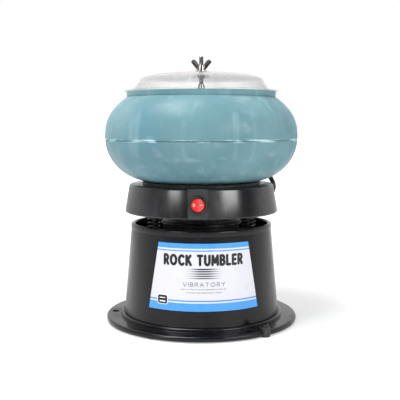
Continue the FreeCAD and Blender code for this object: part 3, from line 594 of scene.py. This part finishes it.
def base():
    rim_step = BASE_RIM_Z - 7
    outline = rounded([
        (wall_r(FLANGE_BOTTOM) - BASE_WALL, FLANGE_BOTTOM),
        (FLANGE_R, FLANGE_BOTTOM, 1.0),
        (FLANGE_R, FLANGE_TOP, 2.6),
        (BEAD_R, FLANGE_TOP, 0.5),
        (BEAD_R, WALL_FOOT_Z, 2.3),
        (WALL_FOOT_R + 0.7, WALL_FOOT_Z, 1.0),
        (WALL_FOOT_R + 0.4, WALL_FOOT_Z - 2, 0.3),
        (wall_r(rim_step), rim_step, 3.0),
        (BASE_RIM_R, BASE_RIM_Z - 5, 2.0),
        (BASE_RIM_R, BASE_RIM_Z, 2.0),
        (RIM_INNER_R, BASE_RIM_Z, 1.4),
        (RIM_INNER_R, rim_step),
        (wall_r(rim_step - 3) - BASE_WALL, rim_step - 3),
    ])
    shell = to_object("base_shell", lathe_mesh(outline, 192))
    holes = [rod(BOLT_HOLE_R, -1, 12, *polar(BOLT_CIRCLE_R, a)) for a in BOLT_ANGLES]
    lug = (low("edge_bumper") + high("edge_bumper")) / 2
    holes.append(rod(high("edge_bumper").x - lug.x + 0.1, -1, 12, lug.x, lug.y))
    cut(shell, holes)
    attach(dress(shell, LOOKS["housing_black"], "housing_black", "base_housing"), "base")
    shelf_z = low("spring_shelf").z
    post = [(0, 30), (4, 30, 0.5), (6, 38, 1), (6, shelf_z), (0, shelf_z)]
    inner_posts = to_object("shelf_posts", standing(post, SHELF_POST_CIRCLE_R, range(0, 360, 90)))
    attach(dress(inner_posts, LOOKS["housing_black"], "housing_black"), "base")


def on_label(across, height, lift):
    """A point over the front of the cone: across is measured round the wall from the label's middle."""
    radius = wall_r(height) + lift
    angle = math.radians(LABEL_TURN - 90) + across / radius
    return radius * math.cos(angle), radius * math.sin(angle), height


def wrap(mesh, lift):
    """Cut artwork drawn flat as (across, up, thickness) into narrow strips and bend it on to the label."""
    for across in range(-60, 61, 2):
        parts = mesh.verts[:] + mesh.edges[:] + mesh.faces[:]
        bmesh.ops.bisect_plane(mesh, geom=parts, plane_co=(across + 0.1, 0, 0), plane_no=(1, 0, 0), dist=1e-5)
    for vert in mesh.verts:
        vert.co = on_label(vert.co.x, vert.co.y, lift + vert.co.z)
    return mesh


def label_sheet():
    """The label: straight slanting sides seen from the front; its four slightly rounded corners are drawn
    square.
    """
    columns, rows = 60, 24
    mesh = bmesh.new()
    grids = []
    for lift in (0.02, 0.3):
        grid = []
        for j in range(rows + 1):
            height = LABEL_BOTTOM + (LABEL_TOP - LABEL_BOTTOM) * j / rows
            share = j / rows
            half = LABEL_HALF_BOTTOM + (LABEL_HALF_TOP - LABEL_HALF_BOTTOM) * share
            half_angle = math.asin(half / wall_r(height))
            line = []
            for i in range(columns + 1):
                across = (2 * i / columns - 1) * half_angle * wall_r(height)
                line.append(mesh.verts.new(on_label(across, height, lift)))
            grid.append(line)
        grids.append(grid)
    for grid in grids:
        for j in range(rows):
            for i in range(columns):
                mesh.faces.new([grid[j][i], grid[j][i + 1], grid[j + 1][i + 1], grid[j + 1][i]])
    border = [(0, i) for i in range(columns)] + [(j, columns) for j in range(rows)]
    border += [(rows, i) for i in range(columns, 0, -1)] + [(j, 0) for j in range(rows, 0, -1)]
    for (j0, i0), (j1, i1) in zip(border, border[1:] + border[:1]):
        mesh.faces.new([grids[0][j0][i0], grids[0][j1][i1], grids[1][j1][i1], grids[1][j0][i0]])
    bmesh.ops.recalc_face_normals(mesh, faces=mesh.faces)
    sheet = to_object("label_sheet", mesh)
    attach(dress(sheet, LOOKS["label_print"], "label_print", "base_label"), "base")


def printed(name, mesh, lift, ink):
    item = to_object(name, wrap(mesh, lift))
    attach(dress(item, ink, "label_print"), "base")


def bowed(cx, cy, rx, ry, start, end, steps=10):
    """Points along part of an ellipse, with angles in degrees."""
    turns = [math.radians(start + (end - start) * k / steps) for k in range(steps + 1)]
    return [(cx + rx * math.cos(a), cy + ry * math.sin(a)) for a in turns]


# Pen strokes of plain capitals, one unit high; each letter's first number is its width.
LETTERS = {
    "A": (0.80, [(0, 0), (0.40, 1), (0.80, 0)], [(0.16, 0.34), (0.64, 0.34)]),
    "B": (0.62, [(0, 0), (0, 1)], [(0, 1)] + bowed(0.30, 0.76, 0.27, 0.24, 90, -90) + [(0, 0.52)],
          [(0, 0.52)] + bowed(0.32, 0.26, 0.30, 0.26, 90, -90) + [(0, 0)]),
    "C": (0.78, bowed(0.46, 0.5, 0.44, 0.5, 48, 312, 18)),
    "E": (0.55, [(0.55, 1), (0, 1), (0, 0), (0.55, 0)], [(0, 0.5), (0.46, 0.5)]),
    "I": (0.0, [(0, 0), (0, 1)]),
    "K": (0.68, [(0, 0), (0, 1)], [(0.64, 1), (0.04, 0.46)], [(0.22, 0.6), (0.68, 0)]),
    "L": (0.52, [(0, 1), (0, 0), (0.52, 0)]),
    "M": (0.88, [(0, 0), (0.04, 1), (0.44, 0.25), (0.84, 1), (0.88, 0)]),
    "O": (0.94, bowed(0.47, 0.5, 0.47, 0.5, 0, 360, 24)),
    "R": (0.64, [(0, 0), (0, 1)], [(0, 1)] + bowed(0.32, 0.74, 0.28, 0.26, 90, -90) + [(0, 0.48)],
          [(0.28, 0.48), (0.64, 0)]),
    "T": (0.68, [(0, 1), (0.68, 1)], [(0.34, 1), (0.34, 0)]),
    "U": (0.70, [(0, 1)] + bowed(0.35, 0.34, 0.35, 0.34, 180, 360, 12) + [(0.70, 1)]),
    "V": (0.76, [(0, 1), (0.38, 0), (0.76, 1)]),
    "Y": (0.74, [(0, 1), (0.37, 0.48), (0.74, 1)], [(0.37, 0.48), (0.37, 0)]),
}


def stroke(start, end, pen):
    """One straight pull of a round pen."""
    heading = math.degrees(math.atan2(end[1] - start[1], end[0] - start[0]))
    tip = [(end[0] + x, end[1] + y) for x, y in bowed(0, 0, pen / 2, pen / 2, heading - 90, heading + 90, 4)]
    back = heading + 180
    tail = [(start[0] + x, start[1] + y) for x, y in bowed(0, 0, pen / 2, pen / 2, back - 90, back + 90, 4)]
    return prism_mesh(tip + tail, 0, 0.05)


def words(text, width, height, middle, pen, gap, gap_word=0.7):
    """Capitals drawn with a round pen to fill a width and height, their middle at (across, up)."""
    tall = height - pen
    total = sum(LETTERS[c][0] + gap if c != " " else gap_word for c in text) - gap
    scale = (width - pen) / (total * tall)
    x = middle[0] - (width - pen) / 2
    strokes = []
    for character in text:
        if character == " ":
            x += gap_word * tall * scale
            continue
        wide, *lines = LETTERS[character]
        for line in lines:
            points = [(x + px * tall * scale, middle[1] + (py - 0.5) * tall) for px, py in line]
            strokes += [stroke(a, b, pen) for a, b in zip(points, points[1:])]
        x += (wide + gap) * tall * scale
    return merged(strokes)


def bar(x0, x1, y0, y1, rounding):
    corners = [(x0, y0, rounding), (x1, y0, rounding), (x1, y1, rounding), (x0, y1, rounding)]
    return prism_mesh(rounded(corners, 3), 0, 0.05)


def tapered_line(half, thick, middle):
    """A line that swells in the middle and runs out to points."""
    steps = 24
    top = [(half * (2 * k / steps - 1), thick / 2 * (1 - (2 * k / steps - 1) ** 2)) for k in range(steps + 1)]
    points = top + [(x, -y) for x, y in reversed(top[1:-1])]
    return prism_mesh([(x + middle[0], y + middle[1]) for x, y in points], 0, 0.05)


def label_artwork():
    """Plain words for what the machine is, a burst of lines, a credit line and a badge of bars."""
    printed("label_title", words("ROCK TUMBLER", 101, 14.0, (-0.5, 91.2), 3.25, 0.50), PRINT_LIFT, INK)
    lines = [tapered_line(24.5, 1.7 - 0.1 * k, (0, 80.6 - 2.7 * k)) for k in range(5)]
    printed("label_lines", merged(lines), PRINT_LIFT, FADING_INK)
    printed("label_subtitle", words("VIBRATORY", 52, 5.2, (0, 62.6), 0.75, 0.42), PRINT_LIFT, GREY_INK)
    dashes = []
    for up, half in ((56.8, 28.0), (52.9, 22.0)):
        x = -half
        while x < half:
            length = random.uniform(0.8, 2.6)
            dashes.append(bar(x, min(x + length, half), up - 0.45, up + 0.45, 0.2))
            x += length + random.choice((0.5, 0.5, 1.4))
    printed("label_small_print", merged(dashes), PRINT_LIFT, GREY_INK)
    badge = (-59.6, -45.0, 37.4, 49.2)
    edge = 0.9
    printed("label_badge_edge", bar(*badge, 2.6), PRINT_LIFT, WHITE_INK)
    inner = (badge[0] + edge, badge[1] - edge, badge[2] + edge, badge[3] - edge)
    printed("label_badge", bar(*inner, 2.0), PRINT_LIFT + 0.06, INK)
    rows = ((inner[2] + 2.0, 1.7), (inner[3] - 3.6, 1.1))
    marks = [bar(inner[0] + 2.4, inner[1] - 2.4, y, y + h, 0.3) for y, h in rows]
    printed("label_badge_bars", merged(marks), PRINT_LIFT + 0.12, WHITE_INK)


# ---------------------------------------------------------------- springs and cups
def spring_mesh(x, y, start_share, end_share):
    """Part of a coil, from one share of its height to another."""
    steps = int(SPRING_COILS * 20 * (end_share - start_share))
    path = []
    for k in range(steps + 1):
        share = start_share + (end_share - start_share) * k / steps
        angle = 2 * math.pi * SPRING_COILS * share
        z = SPRING_BOTTOM + (SPRING_TOP - SPRING_BOTTOM) * share
        path.append(Vector((x + SPRING_COIL_R * math.cos(angle), y + SPRING_COIL_R * math.sin(angle), z)))
    return tube_mesh(path, SPRING_WIRE_R, 8)


def springs():
    """Lower and upper halves of the four coils, and the rubber cups over their tops."""
    middle = (SPRING_BOTTOM + SPRING_TOP) / 2
    halves = [("spring_lower_coils", 0, 0.5, "base", "springs", SPRING_BOTTOM, middle),
              ("spring_upper_coils", 0.5, 1, "springs", "spring_cups", middle, SPRING_TOP)]
    for name, start, end, first, second, z0, z1 in halves:
        coils = to_object(name, merged([spring_mesh(x, y, start, end) for x, y in SPRING_PLACES]), 60)
        dress(coils, LOOKS["spring_steel"], "spring_steel", "isolator_springs")
        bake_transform(coils)
    cups = bpy.data.objects.new("upper_cup_rubbers", frame["nodes"]["upper_spring_cups"].data.copy())
    bpy.context.scene.collection.objects.link(cups)
    dress(cups, LOOKS["rubber_black"], "rubber_black", "upper_spring_cups")
    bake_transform(cups)


# ---------------------------------------------------------------- drive housing and switch
def ring_r(z):
    return RING_BOTTOM_R - (RING_BOTTOM_R - RING_TOP_R) * (z - RING_BOTTOM) / (RING_TOP - RING_BOTTOM)


def switch_face():
    """Places a shape drawn about +Z on the sloping pad, its Z pointing out of the housing."""
    outward = Vector((0, -math.cos(RING_TILT), math.sin(RING_TILT)))
    middle = Vector((0, -ring_r(SWITCH_Z), SWITCH_Z)) - outward * PAD_DEPTH
    turn = Matrix.Rotation(math.radians(SWITCH_TURN), 4, "Z")
    return turn @ Matrix.Translation(middle) @ Matrix.Rotation(math.pi / 2 - RING_TILT, 4, "X")


def drive_ring():
    deck_bottom = RING_TOP - 4
    plate_top = high("motor_plate").z
    outline = rounded([
        (RING_BOTTOM_R - 4, RING_BOTTOM),
        (RING_BOTTOM_R, RING_BOTTOM, 1.5),
        (RING_TOP_R, RING_TOP, 3.2),
        (80, RING_TOP, 0.5),
        (79, RING_TOP - 1, 0.5),
        (3.3, RING_TOP - 1),
        (3.3, deck_bottom),
        (ring_r(deck_bottom) - 4, deck_bottom, 2.0),
    ])
    ring = to_object("drive_ring", lathe_mesh(outline, 192))
    pad_corners = [(-PAD_HALF_W, -30), (PAD_HALF_W, -30), (PAD_HALF_W, 30), (-PAD_HALF_W, 30)]
    pad = to_object("cutter", moved(prism_mesh(pad_corners, 0, 12), switch_face()))
    hole = lathe_mesh([(0, -12), (SWITCH_HOLE_R, -12), (SWITCH_HOLE_R, 12), (0, 12)], 64)
    switch_hole = to_object("cutter", moved(hole, switch_face()))
    cut(ring, [pad, switch_hole])
    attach(dress(ring, RING_LOOK, "housing_black", "drive_housing"), "drive_unit")
    boss = [(0, plate_top), (5, plate_top, 0.6), (5, deck_bottom + 0.5), (0, deck_bottom + 0.5)]
    bosses = to_object("plate_bosses", standing(boss, PLATE_BOSS_CIRCLE_R, PLATE_BOSS_ANGLES))
    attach(dress(bosses, LOOKS["housing_black"], "housing_black"), "drive_unit")


def rocker_top(x):
    """Height of the rocker's dished V face across its width, softened at the valley."""
    return 1.0 + math.tan(ROCKER_SLOPE) * math.sqrt(x * x + 0.4)


def rocker():
    rings, sides = 14, 72
    edge = 0.7
    mesh = bmesh.new()
    rows = [[mesh.verts.new((0, 0, rocker_top(0)))]]
    for i in range(1, rings + 1):
        radius = (ROCKER_R - edge) * i / rings
        rows.append([(radius, 0.0)] * sides)
    for k in range(1, 6):
        angle = math.pi / 2 * k / 5
        rows.append([(ROCKER_R - edge + edge * math.sin(angle), -edge * (1 - math.cos(angle)))] * sides)
    for i in range(1, len(rows)):
        ring = []
        for k, (radius, drop) in enumerate(rows[i]):
            angle = 2 * math.pi * k / sides
            x = radius * math.cos(angle)
            ring.append(mesh.verts.new((x, radius * math.sin(angle), rocker_top(x) + drop)))
        rows[i] = ring
    foot = []
    for k in range(sides):
        angle = 2 * math.pi * k / sides
        foot.append(mesh.verts.new((ROCKER_R * math.cos(angle), ROCKER_R * math.sin(angle), -3)))
    rows.append(foot)
    for first, second in zip(rows, rows[1:]):
        join_rings(mesh, first, second)
    mesh.faces.new(foot)
    bmesh.ops.recalc_face_normals(mesh, faces=mesh.faces)
    item = to_object("rocker_cap", moved(mesh, rocker_place()), 50)
    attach(dress(item, LOOKS["switch_red"], "switch_red", "switch_rocker"), "rocker")
    turns = [2 * math.pi * k / 32 for k in range(33)]
    ring_path = [(-4.4 + 1.15 * math.cos(a), 1.5 * math.sin(a)) for a in turns]
    ring_mark = tube_mesh([Vector((x, y, rocker_top(x))) for x, y in ring_path], 0.28, 8, False)
    bar_mark = tube_mesh([Vector((x, 0, rocker_top(x))) for x in (3.2, 3.6, 4.2, 4.8, 5.4, 5.8)], 0.32, 8)
    marks = to_object("rocker_marks", moved(merged([ring_mark, bar_mark]), rocker_place()), 60)
    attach(dress(marks, WHITE_INK, "switch_red"), "rocker")


def rocker_place():
    """At rest the rocker's left half is pressed in."""
    pivot = Matrix.Translation((0, 0, -1))
    return switch_face() @ pivot @ Matrix.Rotation(-ROCKER_SLOPE, 4, "Y") @ pivot.inverted()


# ---------------------------------------------------------------- cord
def smooth_path(points, step=2.0):
    """A Catmull-Rom curve through points, sampled about every step millimetres."""
    points = [points[0] * 2 - points[1]] + points + [points[-1] * 2 - points[-2]]
    path = []
    for a, b, c, d in zip(points, points[1:], points[2:], points[3:]):
        count = max(2, int((c - b).length / step))
        for k in range(count):
            t = k / count
            path.append(0.5 * (2 * b + (c - a) * t + (2 * a - 5 * b + 4 * c - d) * t ** 2
                               + (3 * b - a - 3 * c + d) * t ** 3))
    path.append(points[-2])
    return path


def cord():
    """Four lengths of cord along one smooth path; the length on the floor is attached to the base."""
    outward = Vector((*polar(1, CORD_TURN), 0))
    mouth = outward * (ring_r(CORD_Z) + 16) + Vector((0, 0, CORD_Z))
    plug = low("cord_plug")
    plug_y = (plug.y + high("cord_plug").y) / 2
    floor = CORD_R + 0.4
    lengths = [
        ("cord_at_housing", "drive_unit", "spring_cups", [(66, 112, 168), (77, 107, 182), (86, 90, 188)]),
        ("cord_over_loop", "spring_cups", "springs", [(95, 69, 183), (101, 55, 169), (97, 66, 154)]),
        ("cord_falling", "springs", "base", [(85, 91, 142), (70, 112, 127), (56, 132, 96)]),
        ("cord_on_floor", "base", "base", [
            (47, 146, 50), (38, 154, 20), (26, 157, 7), (8, 158, floor), (-14, 158, floor),
            (-40, 156, floor), (-70, 154, floor), (-88, 165, floor), (-74, 180, floor),
            (-50, plug_y, floor + 1), (-28, plug_y, 7), (-14, plug_y, PLUG_Z), (-6, plug_y, PLUG_Z),
            (plug.x + 1.5, plug_y, PLUG_Z)]),
    ]
    knots = [mouth - outward * 20, mouth]
    marks = [mouth]
    for _, _, _, places in lengths:
        knots += [Vector(place) for place in places]
        marks.append(knots[-1])
    path = smooth_path(knots)
    stops = [0] + [min(range(len(path)), key=lambda i: (path[i] - mark).length) for mark in marks[1:]]
    for (name, first, second, _), start, end in zip(lengths, stops, stops[1:]):
        length = to_object(name, tube_mesh(path[start:end + 1], CORD_R, 20, False), 60)
        dress(length, LOOKS["cord_black"], "cord_black", "power_cord")
        if first == second:
            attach(length, first)
        else:
            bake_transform(length)


def plug_ribs():
    """Grip ribs round the plug's neck."""
    plug = low("cord_plug")
    middle_y = (plug.y + high("cord_plug").y) / 2
    rib = [(3.0, -0.9), (5.2, -0.9, 0.5), (5.2, 0.9, 0.5), (3.0, 0.9)]
    made = []
    for k in range(4):
        place = Matrix.Translation((plug.x - 3 - 3.2 * k, middle_y, PLUG_Z))
        lying = place @ Matrix.Rotation(math.pi / 2, 4, "Y")
        scale = Matrix.Diagonal((1 - 0.06 * k, 1 - 0.06 * k, 1, 1))
        made.append(moved(lathe_mesh(rounded(rib), 32), lying @ scale))
    ribs = to_object("plug_neck_ribs", merged(made))
    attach(dress(ribs, LOOKS["cord_black"], "cord_black"), "base")


# ---------------------------------------------------------------- seat, bowl, lid
def superellipse(core, bulge, height, power, middle_z, z):
    t = min(1.0, abs(z - middle_z) / height)
    return core + bulge * (1 - t ** power) ** (1 / power)


def upper_r(z, shrink=0.0):
    return superellipse(0, 126.5 - shrink, 73.1 - shrink, 2.23, 239.2, z)


def lower_r(z, shrink=0.0):
    return superellipse(67.5, 58.6 - shrink, 55.0 - shrink, 1.9, 235.0, z)


def spread(start, end, count):
    """Values from start to end, packed closer at both ends."""
    return [start + (end - start) * (1 - math.cos(math.pi * k / count)) / 2 for k in range(count + 1)]


def bowl():
    wall = 6.0
    floor = SEAT_TOP + wall
    outer = [(lower_r(z), z) for z in spread(SEAT_TOP, SEAM_Z - 0.9, 44)]
    outer += [(125.2, SEAM_Z - 0.35), (125.05, SEAM_Z + 0.1), (125.3, SEAM_Z + 0.5)]
    outer += [(upper_r(z), z) for z in spread(SEAM_Z + 1.0, NECK_Z, 40)]
    neck = upper_r(NECK_Z)
    collar = rounded([
        (neck - 0.9, NECK_Z + 1.0, 0.5), (neck - 0.4, BOWL_TOP, 1.0), (92.5, BOWL_TOP, 1.0), (92.5, NECK_Z),
        (60, NECK_Z),
    ])[:-2]
    inner = [(upper_r(z, wall), z) for z in spread(NECK_Z - 4, 235, 30)]
    inner += [(lower_r(z, wall), z) for z in spread(235, floor, 36)[1:]]
    post = [
        (50, floor), (44, floor + 1.4), (38, floor + 6.5), (33, floor + 13.5), (28, floor + 24),
        (24, floor + 37), (20, floor + 56), (17, floor + 76), (15, POST_TOP - 8), (14.2, POST_TOP - 3),
        (13.6, POST_TOP - 0.6), (13, POST_TOP), (3.6, POST_TOP), (3.6, POST_TOP - 9),
        (8.5, POST_TOP - 9), (27.5, SEAT_TOP),
    ]
    outline = [(r, z) for r, z in outer] + [tuple(p) for p in collar] + inner + post
    item = to_object("bowl_shell", lathe_mesh(outline, 192), 28)
    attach(dress(item, LOOKS["bowl_teal"], "bowl_teal", "bowl"), "bowl_unit")


def lid():
    shoulder = 315.4
    thick = 1.8
    seat = BOWL_TOP
    outline = rounded([
        (91.4, 294.5, 0.5), (91.4, seat), (LID_FLANGE_R, seat, 0.6), (LID_FLANGE_R, seat + thick, 0.6),
        (90.0, seat + thick, 1.5), (79.5, shoulder, 7.0), (66, shoulder + 3.9, 30.0),
        (30, LID_TOP - 1.4, 40.0), (14, LID_TOP - 0.5, 20.0), (11.2, LID_TOP),
        (3.45, LID_TOP), (3.45, 314.5), (5.2, 314.5, 0.5),
        (5.2, LID_TOP - thick), (8.9, LID_TOP - thick), (8.9, 315, 0.5), (10.6, 315, 0.5),
        (11.2, LID_TOP - thick - 0.6), (14, LID_TOP - thick - 0.8, 20.0), (30, LID_TOP - thick - 1.5, 40.0),
        (65.5, shoulder + 3.9 - thick, 30.0), (78.2, shoulder - thick * 0.9, 6.0), (89.0, seat + 0.6, 0.3),
        (90.0, 294.5, 0.3),
    ], 9)
    item = to_object("lid_dome", lathe_mesh(outline, 192), 30)
    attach(dress(item, LOOKS["lid_clear"], "lid_clear", "lid"), "lid_unit")


# ---------------------------------------------------------------- stud and wing nut
def stud():
    """A steel rod with a rolled right-hand thread near its top."""
    thread_from = POST_TOP - 4
    sides = 28
    per_turn = 8
    plain = [(STUD_R - 0.6, STUD_BOTTOM), (STUD_R, STUD_BOTTOM + 0.7), (STUD_R, thread_from)]
    heights = [thread_from + THREAD_PITCH * k / per_turn
               for k in range(1, int((STUD_TOP - 0.8 - thread_from) / THREAD_PITCH * per_turn))]
    mesh = bmesh.new()
    rings = [[mesh.verts.new((0, 0, STUD_BOTTOM))]]
    for radius, z in plain:
        rings.append([mesh.verts.new((*polar(radius, 360 * k / sides), z)) for k in range(sides)])
    for z in heights:
        ring = []
        for k in range(sides):
            phase = (z / THREAD_PITCH - k / sides) % 1
            ridge = abs(2 * phase - 1)
            ring.append(mesh.verts.new((*polar(STUD_R - 0.62 * min(1, ridge * 1.15), 360 * k / sides), z)))
        rings.append(ring)
    for radius, z in ((STUD_R - 0.75, STUD_TOP - 0.3), (STUD_R - 1.1, STUD_TOP)):
        rings.append([mesh.verts.new((*polar(radius, 360 * k / sides), z)) for k in range(sides)])
    rings.append([mesh.verts.new((0, 0, STUD_TOP))])
    for first, second in zip(rings, rings[1:]):
        join_rings(mesh, first, second)
    bmesh.ops.recalc_face_normals(mesh, faces=mesh.faces)
    item = to_object("threaded_stud", mesh, 50)
    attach(dress(item, LOOKS["stud_steel"], "stud_steel", "centre_stud"), "drive_unit")


def wing_mesh():
    """One cast wing: a leaning paddle with a dished face on each side."""
    low_z, tip = NUT_BOTTOM, NUT_TOP
    half = NUT_HALF_SPAN
    outline = rounded([
        (1.5, low_z + 0.9, 0.4), (5.6, low_z + 0.9, 2.0), (half, tip - 3.4, 2.0), (half - 3.4, tip, 1.8),
        (half - 7.2, tip - 2.2, 1.4), (3.0, low_z + 7.0, 0.8), (1.5, low_z + 7.0),
    ], 5)
    mesh = prism_mesh([(x, z) for x, z in outline], -1.1, 2.2)
    flats = [face for face in mesh.faces if len(face.verts) > 4]
    for thickness, depth in ((0.5, 0.0), (0.5, -0.45)):
        made = bmesh.ops.inset_individual(mesh, faces=flats, thickness=thickness, depth=depth)
        flats = [face for face in mesh.faces if len(face.verts) > 4] or made["faces"]
    return moved(mesh, Matrix.Rotation(math.pi / 2, 4, "X"))


def wing_nut():
    hub = rounded([
        (3.3, NUT_BOTTOM), (5.6, NUT_BOTTOM, 0.3), (5.4, NUT_BOTTOM + 1.2, 0.4), (4.7, NUT_BOTTOM + 7.5, 0.9),
        (3.3, NUT_BOTTOM + 7.5, 0.4),
    ])
    wings = [wing_mesh(), moved(wing_mesh(), Matrix.Rotation(math.pi, 4, "Z"))]
    item = to_object("wing_nut_casting", merged([lathe_mesh(hub, 48)] + wings), 40)
    bevelled(item, 0.28, 2, 40)
    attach(dress(item, LOOKS["stud_steel"], "stud_steel", "wing_nut"), "wing_nut_unit")


# ---------------------------------------------------------------- floor, light and camera
def stage():
    mesh = bmesh.new()
    reach = 40000
    corners = ((-reach, -reach), (reach, -reach), (reach, reach), (-reach, reach))
    mesh.faces.new([mesh.verts.new((x, y, 0)) for x, y in corners])
    floor = to_object("studio_floor", mesh)
    look = Look("pale_floor", (0.58, 0.58, 0.585), 0.7)
    look.feed("Base Color", look.mix(look.noise(3, 2), (0.57, 0.57, 0.575), (0.59, 0.59, 0.595)))
    look.feed("Emission Color", (1, 1, 1, 1))
    distance = look.maths("SQRT", look.maths("ADD", look.maths("POWER", look.axis("X"), 2.0),
                                             look.maths("POWER", look.axis("Y"), 2.0)))
    seen = look.node("ShaderNodeLightPath").outputs["Is Camera Ray"]
    far_glow = look.maths("MULTIPLY", seen, look.span(distance, 0.3, 2.0, 0.0, 0.6))
    look.feed("Emission Strength", look.maths("ADD", far_glow, 0.36))
    floor.data.materials.append(look.material)
    studio_world()
    soft_box("key_light", (-0.6, -0.40, 1.8), 0.9, 38)
    soft_box("left_panel", (-1.15, -1.30, 0.86), 0.58, 11.0)
    soft_box("right_panel", (1.20, -1.25, 0.86), 0.82, 22.0)


def studio_world():
    """White to the camera all round; as a light, dim in front of the machine."""
    world = bpy.data.worlds.new("studio")
    world.use_nodes = True
    tree = world.node_tree
    background = tree.nodes["Background"]
    background.inputs["Color"].default_value = (1, 1, 1, 1)
    direction = tree.nodes.new("ShaderNodeTexCoord").outputs["Generated"]
    split = tree.nodes.new("ShaderNodeSeparateXYZ")
    tree.links.new(direction, split.inputs[0])
    span = tree.nodes.new("ShaderNodeMapRange")
    span.interpolation_type = "SMOOTHSTEP"
    tree.links.new(split.outputs["Y"], span.inputs["Value"])
    for name, value in (("From Min", -0.35), ("From Max", 0.40), ("To Min", 0.05), ("To Max", 1.0)):
        span.inputs[name].default_value = value
    brighter = tree.nodes.new("ShaderNodeMath")
    brighter.operation = "MAXIMUM"
    tree.links.new(span.outputs[0], brighter.inputs[0])
    tree.links.new(tree.nodes.new("ShaderNodeLightPath").outputs["Is Camera Ray"], brighter.inputs[1])
    tree.links.new(brighter.outputs[0], background.inputs["Strength"])
    bpy.context.scene.world = world


def soft_box(name, place, size, power):
    data = bpy.data.lights.new(name, "AREA")
    data.size = size
    data.energy = power
    item = bpy.data.objects.new(name, data)
    item.location = place
    item.rotation_euler = (Vector((0, 0, 0.2)) - Vector(place)).to_track_quat("-Z", "Y").to_euler()
    bpy.context.scene.collection.objects.link(item)


CAMERA_PLACE = (0, -0.986, 0.2546)
LENS_SHIFT = {"shift_x": -0.00325, "shift_y": -0.19}


def camera():
    data = bpy.data.cameras.new("camera")
    data.lens = 67.05
    data.sensor_width = 36
    item = bpy.data.objects.new("camera", data)
    item.location = CAMERA_PLACE
    item.rotation_euler = (math.pi / 2, 0, 0)
    bpy.context.scene.collection.objects.link(item)
    bpy.context.scene.camera = item
    bpy.context.scene.view_settings.view_transform = "Standard"
    for name, amount in LENS_SHIFT.items():
        shift_at_front(data, item, name, amount)


def shift_at_front(data, item, name, amount):
    """The level lens is shifted at the front viewpoint only, so that views from elsewhere stay centred."""
    driver = data.driver_add(name).driver
    height = driver.variables.new()
    height.name = "height"
    height.type = "TRANSFORMS"
    height.targets[0].id = item
    height.targets[0].transform_type = "LOC_Z"
    driver.expression = f"{amount} if abs(height - {CAMERA_PLACE[2]}) < 0.0001 else 0"


dress_cad_nodes()
base()
label_sheet()
label_artwork()
springs()
drive_ring()
rocker()
cord()
plug_ribs()
bowl()
lid()
stud()
wing_nut()
stage()
camera()
